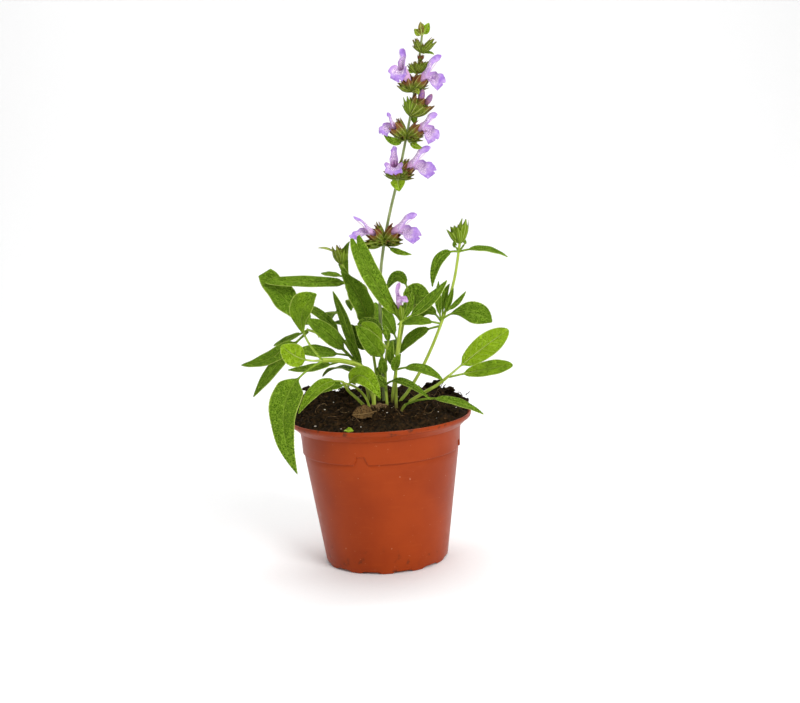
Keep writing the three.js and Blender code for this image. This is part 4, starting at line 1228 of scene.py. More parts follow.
rods = []
for order in range(DRAIN_COUNT):
    turn_here = 2 * math.pi * order / DRAIN_COUNT
    x, y = DRAIN_CIRCLE * math.cos(turn_here), DRAIN_CIRCLE * math.sin(turn_here)
    clear_selection()
    bpy.ops.mesh.primitive_cylinder_add(vertices=28, radius=DRAIN_RADIUS * MM, depth=FLOOR * 3 * MM,
                                        location=(x * MM, y * MM, (FLOOR_TOP - FLOOR / 2) * MM))
    rods.append(bpy.context.object)
cutter = join(rods, "drain_cutter")
pick(pot)
apply_modifier(pot, "BOOLEAN", operation="DIFFERENCE", object=cutter)
bpy.data.objects.remove(cutter)
print("pot after cutting:", len(pot.data.vertices), "points")

# %% [markdown]
# The plastic is a satin terracotta brown. It shows faint flow marks, a fine grain, a few
# scratches that run round it, and dust and peat smears near the lip and the foot. All of it is
# drawn on object coordinates, because the pot never bends.

# %% Pot finish
POT_BROWN = srgb(140, 50, 10)
POT_WARM = srgb(154, 58, 13)
POT_FLOW = srgb(164, 68, 20)
POT_SMEAR = srgb(70, 38, 22)
POT_FLECK = srgb(214, 150, 120)


def pot_finish():
    bench = Bench("pot_plastic", Roughness=0.35, Specular_IOR_Level=0.13)
    place = bench.place()
    height = bench.split(place)[2]
    brown = bench.tint(POT_BROWN, POT_WARM, bench.noise(place, 22, 4.0), 0.3, 0.7)
    flow = bench.noise(bench.stretch(place, 1, 1, 9), 60)
    brown = bench.tint(brown, POT_FLOW, flow, 0.55, 0.75, 0.0, 0.25)
    dust = bench.noise(place, 160, 4.0)
    near_edges = bench.math("MAXIMUM", bench.step(height, 0.0, 0.03, 1.0, 0.0),
                            bench.step(height, 0.106, 0.112, 0.0, 1.4))
    smears = bench.times(bench.step(dust, 0.56, 0.68), near_edges)
    brown = bench.blend(bench.times(smears, 0.6), brown, POT_SMEAR)
    brown = bench.tint(brown, POT_FLECK, bench.noise(place, 420), 0.69, 0.76, 0.0, 0.5)
    rough = bench.math("MULTIPLY_ADD", dust, 0.22, 0.27)
    grain = bench.times(bench.noise(place, 1600, 2.0), 0.4)
    scratch = bench.noise(bench.stretch(place, 1, 1, 14), 240, 2.0)
    relief = bench.math("MULTIPLY_ADD", scratch, 0.6, grain)
    return bench.finish(brown, rough, relief, depth=0.05, strength=0.5)


pot.data.materials.clear()
pot.data.materials.append(pot_finish())
hand_over(pot, "pot", angle=28, of_plant=False)

# %% [markdown]
# ## The peat
# Peat is crumbs, fibres and lumps. The bed is a disc of rings, pulled inwards from the wall ring
# by ring and then raised to a lumpy dome by noise. Loose crumbs, clods and fibres lie on it. A
# crumb is one small stone of twenty faces, copied about a thousand times, each turned and
# squeezed its own way.

# %% Height of the peat
PEAT_EDGE = 67.5
PEAT_EDGE_HEIGHT = 112
PEAT_DOME = 1.5
PEAT_TILT = 6
PEAT_HEAPS = ((-56, 20, 9, 500), (46, 36, 3, 300))
PEAT_LUMP = 1.3
PEAT_FALL = 0.9
PEAT_GAP = 0.35
PEAT_CALM = 68.5


def peat_top(x, y):
    """Height of the bed over a point: domed, higher at the back, heaped at two sides, and
    falling to the lip all round."""
    out = min(1, math.hypot(x, y) / PEAT_EDGE)
    heaps = sum(h * math.exp(-((x - cx) ** 2 + (y - cy) ** 2) / spread) for cx, cy, h, spread in PEAT_HEAPS)
    lumps = PEAT_LUMP * (math.sin(x * 0.37 + y * 0.11) + math.sin(y * 0.41 - x * 0.19 + 1))
    rise = PEAT_DOME * (1 - out**2) + PEAT_TILT * (1 + y / PEAT_EDGE) + heaps + lumps
    return PEAT_EDGE_HEIGHT + rise * (1 - float(smooth(PEAT_FALL, 1, out)))


def rough_peat(x, y):
    """The bed's height with its clods and crumbs."""
    clods = noise.fractal(Vector((x, y, 3)) * 0.13, 1.0, 2.2, 3)
    crumbs = abs(noise.fractal(Vector((x, y, 9)) * 0.45, 0.9, 2.1, 4))
    inside = smooth(0.0, 1.0, (1 - math.hypot(x, y) / PEAT_CALM) * 12)
    return peat_top(x, y) + float(inside) * (1.5 * clods + 1.9 * crumbs - 1.0)


print("peat in the middle is", round(peat_top(0, 0), 1), "mm high")


# %% Peat finishes
PEAT_STRAND = srgb(112, 76, 48)


def peat_finish(name, dark, light):
    bench = Bench(name, Roughness=0.92, Specular_IOR_Level=0.08)
    place = bench.place()
    crumbs = bench.noise(place, 420, 5.0, 0.65)
    soil = bench.tint(dark, light, crumbs, 0.35, 0.72)
    strands = bench.noise(bench.stretch(place, 1, 4, 1), 380, distortion=1.2)
    soil = bench.tint(soil, PEAT_STRAND, strands, 0.64, 0.76, 0.0, 0.5)
    return bench.finish(soil, height=crumbs, depth=0.8, strength=0.9)


def fleck_finish(name, dark, light):
    bench = Bench(name, Roughness=0.8, Specular_IOR_Level=0.25)
    fleck = bench.noise(bench.place(), 600)
    return bench.finish(bench.tint(dark, light, fleck, 0.35, 0.65), height=fleck, depth=0.1)


peat_dark = peat_finish("peat_dark", srgb(13, 8, 3), srgb(56, 40, 20))
peat_brown = peat_finish("peat_brown", srgb(34, 22, 10), srgb(92, 66, 38))
root_fibre = fleck_finish("root_fibre", srgb(86, 64, 38), srgb(136, 110, 74))
pale_grit = fleck_finish("pale_grit", srgb(196, 186, 168), srgb(228, 222, 210))
print("peat finishes ready")

# %% The bed of peat
BED_SIDES = 180
BED_RINGS = 56
BED_FOOT = FLOOR_TOP + PEAT_GAP
BED_WALL = [(h, inside_radius(h) - PEAT_GAP) for h in (BED_FOOT, 30, 60, STEP_HEIGHT, LIP_FOOT)]
BED_WALL += [(LIP_BEAD - 0.9, RIM_RADIUS - 4.9), (LIP_BEAD + 1.6, RIM_RADIUS - 2.8)]


def pull_ring(rise, share):
    """Extrudes the selected ring upwards and then scales it."""
    bpy.ops.mesh.extrude_region_move(TRANSFORM_OT_translate={"value": (0, 0, rise * MM)})
    bpy.ops.transform.resize(value=(share, share, 1))


def peat_bed():
    clear_selection()
    bpy.ops.mesh.primitive_circle_add(vertices=BED_SIDES, radius=BED_WALL[0][1] * MM, fill_type="TRIFAN",
                                      location=(0, 0, BED_FOOT * MM))
    bed = bpy.context.object
    bpy.ops.object.transform_apply(location=True)
    edit()
    bpy.ops.mesh.select_mode(type="EDGE")
    bpy.ops.mesh.select_all(action="DESELECT")
    leave_edit()
    for edge in bed.data.edges:
        edge.select = all(bed.data.vertices[end].co.xy.length > 1e-4 for end in edge.vertices)
    edit()
    for (height, radius), (next_height, next_radius) in zip(BED_WALL, BED_WALL[1:]):
        pull_ring(next_height - height, next_radius / radius)
    pull_ring(2, 1)
    edge_radius = radius = BED_WALL[-1][1]
    for ring in range(1, BED_RINGS + 1):
        next_radius = edge_radius * (1 - ring / BED_RINGS) ** 0.9 if ring < BED_RINGS else 0.3
        pull_ring(0, next_radius / radius)
        radius = next_radius
    bpy.ops.mesh.merge(type="CENTER")
    bpy.ops.mesh.select_mode(type="VERT")
    leave_edit()
    for point in bed.data.vertices:
        x, y, z = (c / MM for c in point.co)
        if z > LIP_BEAD + 2:
            point.co.z = rough_peat(x, y) * MM
    finish_mesh(bed)
    bed.data.materials.append(peat_dark)
    return bed


bed = peat_bed()
print("peat bed:", len(bed.data.polygons), "faces")


# %% Crumbs and grit
CRUMB_COUNT = 1100
GRIT_COUNT = 46


def crumb_blank(name, material, divisions=1):
    clear_selection()
    bpy.ops.mesh.primitive_ico_sphere_add(subdivisions=divisions, radius=MM)
    blank = bpy.context.object
    blank.name = name
    blank.data.materials.append(material)
    return put_by(blank)


def stone(blank, place, size, rough=0.35):
    """A copy of a crumb, dented, squeezed and turned."""
    piece = copy_of(blank, "crumb")
    shift = Vector([dice.uniform(0, 90) for _ in range(3)])
    for point in piece.data.vertices:
        point.co *= 1 + rough * noise.noise(point.co / MM * 1.3 + shift) * 2
    angle = dice.uniform(0, 6.28)
    turned = Matrix.Rotation(angle, 4, Vector([dice.uniform(-1, 1) for _ in range(3)]).normalized())
    widths = [size * dice.uniform(low, high) for low, high in ((0.6, 1.3), (0.6, 1.2), (0.4, 0.8))]
    piece.data.transform(Matrix.Translation(Vector(place) * MM) @ Matrix.Diagonal((*widths, 1)) @ turned)
    return piece


def scattered(reach):
    """A place on the bed, anywhere within `reach` of its middle."""
    angle, out = dice.uniform(0, 2 * math.pi), reach * math.sqrt(dice.random())
    return out * math.cos(angle), out * math.sin(angle)


CRUMB = crumb_blank("crumb_blank", peat_brown)
DARK_CRUMB = crumb_blank("dark_crumb_blank", peat_dark)
GRIT = crumb_blank("grit_blank", pale_grit)

loose = []
for order in range(CRUMB_COUNT):
    x, y = scattered(66)
    size = 0.5 + 1.3 * dice.random() ** 2.5
    loose.append(stone(DARK_CRUMB if order % 3 else CRUMB, (x, y, rough_peat(x, y) + size * 0.25), size))
for _ in range(GRIT_COUNT):
    x, y = scattered(63)
    size = dice.uniform(0.3, 0.7)
    loose.append(stone(GRIT, (x, y, rough_peat(x, y) + size * 0.5), size))
print("crumbs and grit:", len(loose))

# %% Clods
CLODS = (
    (62, 14, 4.0, 3.6), (65.5, 9, 4.4, 3.0), (66.5, 6, 5.8, 2.2), (58, 20, 2, 4.2), (55, 28, 2.5, 4.0),
    (46, 38, 1.4, 3.4), (60, 2, 1.6, 2.8), (62, -6, 1.0, 2.6), (51, 34, 2.4, 2.8), (40, 46, 1.6, 3.2),
    (61, 22, 5.4, 2.8), (-59, 14, 1.4, 3.6), (-61, 4, 1.6, 2.8), (-50, 34, 1.4, 3.4), (-56, 24, 1.8, 3.2),
    (-42, 42, 1.2, 3.4), (-60, -8, 1.2, 2.4), (2, 44, 0.8, 3.6), (18, 48, 1.0, 3.4), (-20, 50, 1.0, 3.2),
    (66, 1, 3.0, 2.0), (67.5, 8, 7.0, 1.5), (64.5, 14, 6.4, 2.2), (-47, 40, 2.2, 2.6), (30, 50, 1.2, 3.0),
)
CLOD = crumb_blank("clod_blank", peat_dark, 4)


def clod(x, y, lift, size):
    """A crumb grown large, with crumbs of its own."""
    piece = stone(CLOD, (0, 0, 0), size, 0.3)
    for point in piece.data.vertices:
        rough = abs(noise.fractal(point.co / MM * 0.9 + Vector((x, y, 0)), 0.8, 2.2, 4))
        point.co += point.co.normalized() * rough * 0.9 * MM
    inside = min(1, 66 / math.hypot(x, y))
    place = Vector((x, y, peat_top(x * inside, y * inside) + lift - 1.5))
    piece.data.transform(Matrix.Translation(place * MM))
    return piece


loose += [clod(*given) for given in CLODS]
print("with the clods:", len(loose))


# %% Fibres in the peat
FIBRE_COUNT = 170
WISP_BENDS = 4
WISP_SAG = 0.12
WISP_STRAY = 0.6


def thread(joints, radius, end_share, material):
    return lay_stem(joints, (radius, radius * end_share), material, blank=THREAD_BLANK, square=False)


def wisp(start, heading, length):
    """A thin fibre that wanders from `start` into the air."""
    place, way = Vector(start), Vector(heading).normalized()
    joints = [tuple(place)]
    for _ in range(WISP_BENDS):
        stray = Vector([dice.uniform(-WISP_STRAY, WISP_STRAY) for _ in range(3)])
        way = (way + stray - Vector((0, 0, WISP_SAG))).normalized()
        place = place + way * (length / WISP_BENDS)
        joints.append(tuple(place))
    return thread(joints, 0.42, 0.55, peat_brown)


def lying_wisp(x, y, angle, length, radius, material):
    """A fibre that follows the bed, a little raised at both ends."""
    joints = []
    for order in range(6):
        bend = angle + 0.9 * math.sin(order * 1.3 + x)
        joints.append((x, y, rough_peat(x, y) + dice.uniform(0.2, 1.3)))
        x, y = x + math.cos(bend) * length / 5, y + math.sin(bend) * length / 5
    return thread(joints, radius, 0.6, material)


for order in range(FIBRE_COUNT):
    x, y = scattered(52)
    loose.append(lying_wisp(x, y, dice.uniform(0, 6.28), dice.uniform(4, 15), dice.uniform(0.1, 0.28),
                            peat_brown if order % 4 else root_fibre))
print("with the fibres:", len(loose))

# %% Roots, woody knobs, a green scrap and standing wisps
LYING_ROOTS = (
    (-38, -28, 0.2, 14), (-27, -33, -0.5, 13), (-33, -14, 1.2, 18), (36, -22, 0.7, 16), (40, -26, 2.6, 11),
    (-20, -40, 0.1, 12), (4, -30, 1.9, 12), (24, -34, 0.4, 14), (-48, -12, 1.0, 15), (12, -22, -0.9, 13),
    (50, -8, 1.6, 12), (-8, -28, 2.4, 12), (48, 24, -2.0, 15), (46, 20, -1.4, 9),
)
KNOBS = (((1, -9, 120.5), 3.4), ((-4, -8, 119.5), 2.8), ((5, -11, 119.5), 2.4), ((-1, -13, 119), 2.0))
WISPS = (
    ((50, 37, 121), (0.6, -0.4, 0.7), 15), ((53, 34, 121), (1, 0.1, 0.25), 14),
    ((47, 40, 121), (-0.2, 0, 1), 9), ((64, 6, 121), (0.5, -0.2, 0.8), 7), ((67, 8, 122), (1, 0, 0.3), 5),
    ((58, 24, 121), (0.7, 0.1, 0.7), 8), ((-57, 18, 125), (-0.5, 0, 0.8), 7),
    ((60, 16, 121), (0.9, -0.5, 0.6), 8),
)

loose += [lying_wisp(*given, 0.16, root_fibre) for given in LYING_ROOTS]
KNOB = crumb_blank("knob_blank", root_fibre, 3)
loose += [stone(KNOB, place, size, 0.6) for place, size in KNOBS]
loose.append(leaf((-25, -58, 112.6), (-22, -59.5, 113.6), (-18.5, -59, 112.8), 4.6, (0, -0.6, 0.8),
                  tone=0.7, steps=4))
loose += [wisp(*given) for given in WISPS]
peat = join([bed, *loose], "peat_fine")
hand_over(peat, "peat", of_plant=False)

# %% [markdown]
# ## The flower spike
# The spike is one tapering stem with a whorl of flower cups at each joint. Its line is the same
# as in the solid model. No two whorls look alike, so each is a list of the places where its cups'
# teeth end, with a girth for each cup. The cups that hold an open flower come from the list of
# flowers. Small pointed bracts hang under the whorls.

# %% Line and whorls of the spike
SPIKE_LINE = [(3, 5, 106), (3, 5, 122), (3, 6, 171), (5, 7, 218), (9.5, 8, 245.5), (15, 7, 268),
              (22.3, 6, 293), (30, 5, 323), (33.7, 5, 338), (40.3, 5, 368.5), (45.2, 5, 395.8)]
WHORLS = [
    dict(at=(9.5, 8, 245.5), tone=0.25,
         tips=[(24.3, -1, 246.5, 0.7), (20.4, -3, 244.7, 0.6), (-7.5, 0, 244.7, 0.7), (4.3, 5, 263, 0.5),
               (14, -5, 245, 0.6), (4.5, -4, 245, 0.6), (-1, -3, 246, 0.6), (4, 21, 248, 0.75),
               (17, 19, 248, 0.75), (-3, 15, 247, 0.6)]),
    dict(at=(22.3, 6, 293), tone=0.1,
         tips=[(27.7, 1, 308.3, 0.6), (32.8, 4, 308, 0.6), (35, 0, 297.5, 0.6), (34.5, -3, 294.5, 0.55),
               (31, -4, 301, 0.55), (12, 15, 298, 0.75), (20, 22, 299, 0.75), (32, 18, 298, 0.75)]),
    dict(at=(30, 5, 322), tone=0.2,
         tips=[(24, 3, 338.5, 0.5), (44.3, 2, 325, 0.65), (43, -1, 321.5, 0.6), (38, -4, 319.5, 0.55),
               (25.5, -4, 322, 0.55), (35, -5, 321.5, 0.5), (22, 18, 326, 0.75),
               (33, 20, 326, 0.75), (42, 16, 325, 0.7)]),
    dict(at=(33.7, 5, 338), tone=0.9,
         tips=[(31, 3, 353.8, 0.62), (28.4, 4, 348, 0.55), (35, -1, 352.5, 0.62), (40, -3, 353, 0.62),
               (45, -2, 350.5, 0.62), (49.5, 2, 346.8, 0.6), (47, -3, 344.8, 0.55), (32, 14, 351, 0.7),
               (40, 16, 352, 0.7), (46, 12, 349, 0.65)]),
    dict(at=(35.5, 5, 355.5), tone=0.1,
         tips=[(24.5, 2, 362.6, 0.72), (26, 5, 359.5, 0.55), (36.8, -2, 363.5, 0.6), (49.8, 4, 359.3, 0.4),
               (30, 16, 364, 0.75), (41, 17, 365, 0.75)]),
    dict(at=(40.3, 5, 368.5), tone=0.35,
         tips=[(33.2, 4, 376.4, 0.7), (39, 1, 377.8, 0.6), (43.9, 0, 377.6, 0.6), (50.4, 3, 377.2, 0.68),
               (46.5, -1, 376.5, 0.55), (38, 12, 377, 0.7), (46, 12, 377, 0.7)]),
    dict(at=(44.2, 5, 382.9), tone=0.3,
         tips=[(39, 4, 394.6, 0.62), (37, 3, 389, 0.35), (55.2, 3, 393, 0.6), (46, 1, 389, 0.6),
               (48.5, 2, 390, 0.5), (44, 11, 392, 0.62)]),
    dict(at=(42.8, 5, 376.5), tone=-1.6,
         tips=[(41.6, 2, 382.4, 0.6), (45.8, 2, 382, 0.6), (44.5, 8, 382, 0.6)]),
]
print("whorls:", len(WHORLS), "cups:", sum(len(whorl["tips"]) for whorl in WHORLS))

# %% Flowers and bracts of the spike
FLOWERS = [
    dict(whorl=0, mouth=(18.6, 2, 255), upper=(35, 0, 265.6), lower=(37, -2, 248.9)),
    dict(whorl=0, mouth=(0.5, 3, 254.5), upper=(-12.6, 0, 266.6), lower=(-16.5, -2, 251.7), show=0.12,
         lip=7.5),
    dict(whorl=1, mouth=(21, -1, 300), upper=(19.5, -12, 316.8), lower=(19.2, -17, 296.6), reach=0.65,
         gape=0.3),
    dict(whorl=1, mouth=(31.6, 2.6, 302.2), upper=(47.5, 0, 314.6), lower=(50.5, -1, 296.5)),
    dict(whorl=2, mouth=(20.5, 2, 332), upper=(16.5, 0, 341), lower=(11.2, -1, 326), lip=7.5,
         show=0.5),
    dict(whorl=2, mouth=(41.2, 2.3, 329.5), upper=(53.6, 0, 338), lower=(52, -1, 319.5)),
    dict(whorl=4, mouth=(33, 1, 365.6), upper=(28, -6, 385.8), lower=(27.6, -9, 362.6), reach=0.85,
         gape=0.3),
    dict(whorl=4, mouth=(44.5, 2.5, 365.5), upper=(58.4, 0, 380.2), lower=(59.5, -1, 359.8)),
]
FLOWER_BUDS = [
    dict(whorl=3, mouth=(42, 0, 350.3), tip=(43.9, -1, 357), girth=2.9),
    dict(whorl=3, mouth=(46.6, 0, 347.5), tip=(50.3, -1, 353.2), girth=2.6),
]
BRACTS = [
    ((10, 8, 245), (0, 4, 243), (-7, 2, 248), 5, (0, -0.8, 0.6)),
    ((11, 6, 243.5), (19, 1, 238.5), (29.5, -3, 236.5), 5, (0, -0.7, 0.7), 0.5),
    ((22, 2, 291.5), (22, -6, 289.5), (22.6, -9, 284), 11, (0, -1, 0.3), 1.6, heart_outline),
    ((22, 7, 293), (22, 15, 291), (21, 19, 284), 9, (0, 1, 0.4), 0.6, heart_outline),
    ((29, 4, 321), (21, 0, 320), (13.4, 0, 325.9), 6, (0.2, -0.9, 0.4), 0.0),
    ((31, 3, 320), (36, 1, 316), (41.4, 1, 314.6), 5, (0.1, -0.8, 0.6), 1.1),
    ((33.7, 7, 338), (36, 13, 337), (37, 17, 331), 6, (0, 0.8, 0.6)),
    ((36, 3, 355), (39, -2, 356), (40, -5, 353), 4, (0, -0.9, 0.4), 2.5),
    ((40, 4, 368), (34, 4, 370), (29, 3, 367), 4, (-0.2, -0.7, 0.7)),
    ((45, 5, 382.5), (49.5, 4, 382.9), (53.2, 3, 381.3), 2.6, (0.2, -0.7, 0.7)),
    ((45.1, 5, 395), (42.4, 4, 397.3), (39.6, 3, 400.2), 5, (-0.3, -1, 0.2), 2.5),
    ((45.2, 5, 395), (47.8, 3.5, 399), (50.6, 3, 404), 6, (0.1, -1, 0.1), 2.1),
    ((45.2, 5, 395), (44.6, 2.5, 400), (44.4, 2.6, 405), 4.4, (0, -1, 0.1), 2.9),
    ((45.2, 6, 395), (46, 8, 399), (46, 9, 404), 5, (0, 1, 0.1), 0.9),
]
print("flowers:", len(FLOWERS), "buds:", len(FLOWER_BUDS), "bracts:", len(BRACTS))


# %% Build the spike
CUP_WITHER = 1.4


def bract(start, through, tip, width, face, tone=0.1, outline=sage_outline):
    return leaf(start, through, tip, width, face, tone=tone, outline=outline, stalk=1.2, teeth=0.3)


def whorl_cups(at, tips, tone, taken):
    """The cups of one whorl: the open flowers' own, and those whose teeth end at `tips`."""
    cups = [cup(at, mouth, 1.0, tone - CUP_WITHER) for mouth in taken]
    for x, y, z, girth in tips:
        mouth = np.add(at, np.subtract((x, y, z), at) * CUP_REFERENCE / CUP_HEIGHT)
        cups.append(cup(at, mouth, girth * dice.uniform(1.0, 1.15), tone + dice.uniform(-0.3, 0.3),
                        dice.uniform(0.15, 0.6)))
    return cups


spike = [lay_stem(SPIKE_LINE, (1.75, 1.0), stem_olive, foot=18)]
for order, whorl in enumerate(WHORLS):
    taken = [f["mouth"] for f in [*FLOWERS, *FLOWER_BUDS] if f["whorl"] == order]
    spike += whorl_cups(taken=taken, **whorl)
spike += [bract(*given) for given in BRACTS]
hand_over(join(spike, "flower_spike_fine"), "flower_spike")

# %% Build the flowers
MIDDLE_FLOWER = dict(base=(19.5, -8, 188), mouth=(17.8, -13.5, 201), upper=(19.6, -21, 218.4),
                 lower=(21.6, -23, 206.5), lip=6.2, reach=0.3, show=0.8, pink=0.85)


def violet_flower(order, whorl, **given):
    name = f"corolla_{order}"
    hand_over(flower(WHORLS[whorl]["at"], name=name + "_fine", **given), name)


for order, given in enumerate(FLOWERS, 1):
    violet_flower(order, **given)
buds = [closed_bud(given["mouth"], given["tip"], given["girth"]) for given in FLOWER_BUDS]
hand_over(join(buds, "bud_corolla_1_fine"), "bud_corolla_1")
hand_over(flower(name="pink_corolla_fine", **MIDDLE_FLOWER), "pink_corolla")

# %% [markdown]
# ## The leafy shoots
# Each shoot is given as its stems, its leaves and any flower cups at its tip. The numbers are
# those of the solid model, so a fine shoot lies exactly where its solid does, and a few of the
# smallest leaves are here alone. A tone goes with each shoot, and with some of its leaves: some
# leaves are old and dark and some young and bright, and the dark tones given to the shoots at
# the back and to small leaves deep in the crown are painted shade.

# %% How a shoot is built
SMALL = dict(steps=4)
ROUND = dict(outline=round_outline)
HEART = dict(outline=heart_outline)
SPADE = dict(outline=spade_outline)
BLUNT = dict(outline=blunt_outline)
STRAP = dict(outline=strap_outline)
SPEAR = dict(outline=spear_outline)
ROOT_DEPTH = 16
WOODY_LENGTH = 24


def rooted(route):
    """The route, with a root end that stands in the peat."""
    x, y, z = route[0]
    return [(x, y, z - ROOT_DEPTH), *route]


def shoot(name, tone, stems, leaves, cups=()):
    """Stems are (radii, joints). Leaves are (start, through, tip, width, face, options)."""
    pieces = [lay_stem(rooted(route), radii, stem_pale, foot=WOODY_LENGTH) for radii, route in stems]
    for *shape, options in (given if isinstance(given[-1], dict) else (*given, {}) for given in leaves):
        pieces.append(leaf(*shape, **{"tone": tone, **options}))
    pieces += [cup(*given) for given in cups]
    hand_over(join(pieces, name + "_fine"), name)


print("shoots are ready to build")

# %% The tall shoot and the middle shoot
shoot(
    "tall_shoot", 0.0,
    stems=[((1.6, 1.2), [(14, 7, 120), (22, 8, 130), (35, 10, 150), (50, 14, 181), (61, 17, 212),
                         (67, 20, 241)])],
    leaves=[
        ((50, 14, 183), (68.7, 6, 190), (88, 2, 181), 17, (0, -1, 0.25), dict(wave=0.6, steps=7, **SPADE)),
        ((49, 14, 180), (32, 8, 184), (16, 2, 183), 10, (0, -0.6, 0.8)),
        ((48, 14, 178), (29, 22, 170), (17, 26, 156), 10, (-0.3, -0.8, 0.5)),
        ((50, 14, 181), (39, 27, 189), (28, 33, 177), 9, (0, -0.9, 0.4)),
        ((50, 14, 182), (48, 9, 198), (49, 7, 214), 5, (0, -1, 0.1), SMALL),
        ((51, 14, 184), (53, 21, 199), (58, 24, 209), 5, (0.3, -0.9, 0.1), SMALL),
        ((52, 15, 186), (56, 10, 197), (60, 8, 208), 5, (-0.3, -1, 0.1), SMALL),
        ((53, 15, 189), (62, 18, 194), (70, 21, 203), 5, (-0.2, -0.6, 0.8), SMALL),
        ((66, 19, 234), (51, 14, 230), (44, 10, 209), 9, (-0.4, -0.8, 0.4)),
        ((66, 19, 234), (85, 19, 235), (103, 20, 228), 9, (0, -0.4, 1)),
        ((66, 19, 235), (63, 14, 239), (63, 12, 244), 4, (-0.2, -0.6, 0.8), SMALL),
        ((66, 19, 235), (70, 24, 238), (71, 27, 243), 4, (0.2, 0.6, 0.8), SMALL),
    ],
    cups=[
        ((66.8, 20, 240.5), (60.6, 19, 251.6), 0.95, 1.2, 0.3),
        ((67, 19, 240.5), (65, 15, 253), 0.7, 1.2, 0.3),
        ((67.2, 20, 240.5), (71.2, 20, 257), 0.78, 1.4, 0.6), ((67, 21, 241), (67, 26, 252), 0.8, 1.2, 0.4),
    ],
)
shoot(
    "middle_shoot", 0.1,
    stems=[((1.6, 1.3), [(12, -5, 123), (13, -6, 147), (15, -6, 165), (19, -8, 188)])],
    leaves=[
        ((19, -8, 187), (-1, -21, 224), (-11.5, -28, 254.5), 15, (0.3, -0.9, 0.35),
         dict(wave=0.7, steps=9, petiole=0.05, notch=0.1, **BLUNT)),
        ((19, -8, 187), (39, -5, 199), (55, 2, 215), 11, (-0.4, -0.6, 0.6)),
        ((19, -8, 186), (26, -9, 198), (28.5, -11, 211), 5, (0.3, -1, 0.1), SMALL),
        ((14, -6, 150), (31, -16, 152), (48, -26, 144), 10, (0, -0.5, 0.9)),
        ((13, -6, 149), (10, -11, 161), (12, -15, 174), 7, (-0.5, -0.9, 0.2), SMALL),
        ((13, -6, 146), (13, -12, 155.6), (17.6, -15, 163.6), 7, (0.2, -1, 0.3), SMALL),
    ],
    cups=[((19.5, -8, 188), (17.8, -13.5, 201), 0.7, 1.2)],
)

# %% The low shoots at the right
shoot(
    "low_right_shoot", 0.9,
    stems=[((1.5, 1.3), [(18, -1, 119), (32, -5, 130), (44, -8, 137), (53, -10, 144)])],
    leaves=[
        ((53, -10, 144), (79, -7, 163), (100, 0, 175), 18, (0.3, -1, 0.4), dict(steps=8, **ROUND)),
        ((53, -10, 143), (80.6, -17, 149), (100.6, -20, 151.8), 13, (0, -0.8, 0.7), dict(tone=0.5, **ROUND)),
    ],
)
shoot(
    "basal_shoot", -0.2,
    stems=[((1.3, 1.2), [(16, -10, 119), (19, -13, 124)])],
    leaves=[((19, -13, 124), (46, -26, 130), (76, -41, 120.5), 9, (0, -0.4, 1), dict(petiole=0.4))],
)

# %% The pale shoot at the left
shoot(
    "pale_shoot", 0.25,
    stems=[((2.0, 1.9), [(-5, -4, 121), (-5, -4, 139), (-11, -9, 153), (-26, -17, 161), (-41, -25, 164)])],
    leaves=[
        ((-41, -25, 164), (-54, -32, 194), (-41, -39, 215.5), 18, (-0.4, -0.9, 0),
         dict(petiole=0.3, wave=0.8, steps=8, skew=-0.25, **SPADE)),
        ((-41, -25, 164), (-56, -31.8, 167.5), (-69, -38, 179), 17, (0, -1, 0.4),
         dict(tone=0.95, petiole=0.38, **ROUND)),
        ((-41, -25, 163), (-68.7, -48, 137), (-62, -62, 88), 23, (-0.3, -1, 0.1),
         dict(petiole=0.2, wave=0.5, steps=9, tone=-0.25, **SPEAR)),
        ((-28, -18, 161), (-48, -13, 156), (-68, -10, 155), 9, (0, -0.5, 0.9), dict(tone=-0.4)),
    ],
)

# %% The shoot behind it
shoot(
    "left_back_shoot", 0.0,
    stems=[((1.6, 1.2), [(-5, 6, 122), (-13, 10, 146), (-25, 14, 162), (-40, 18, 174), (-54, 20, 180)])],
    leaves=[
        ((-40, 18, 174), (-66, 14, 202), (-83, 14, 226.5), 20, (0.4, -0.9, 0.5),
         dict(wave=0.8, steps=8, **BLUNT)),
        ((-53, 20, 178), (-81, 20, 160), (-106.7, 22, 154.3), 14, (-0.1, -0.7, 0.8), HEART),
        ((-53, 20, 179.5), (-69, 30, 171), (-81.5, 32, 166.4), 9, (-0.1, -0.5, 0.9), dict(tone=-0.5)),
        ((-53, 20, 179), (-77.5, 16, 155), (-99, 20, 128.8), 12, (-0.4, -0.8, 0.5)),
        ((-19, 12, 156), (-37, 4, 178), (-53, 2, 191), 14, (0.2, -0.9, 0.6)),
        ((-13, 10, 146), (-40, 17, 189), (-69, 22, 197), 8, (-0.2, -0.6, 1),
         dict(petiole=0.3, tone=-0.4, **HEART)),
        ((-22, 13, 159), (-45, 4, 165), (-61, 2, 167), 12, (0, -0.7, 0.8)),
        ((-13, 10, 147), (-22, 2, 184), (-31, -4, 212), 8.5, (-0.5, -0.9, 0.1), dict(petiole=0.2, tone=-0.4)),
        ((-8, 8, 134), (-16.5, 4, 163), (-27, 7, 185), 6, (-0.3, -1, 0.2), dict(petiole=0.3, tone=-0.2)),
    ],
)

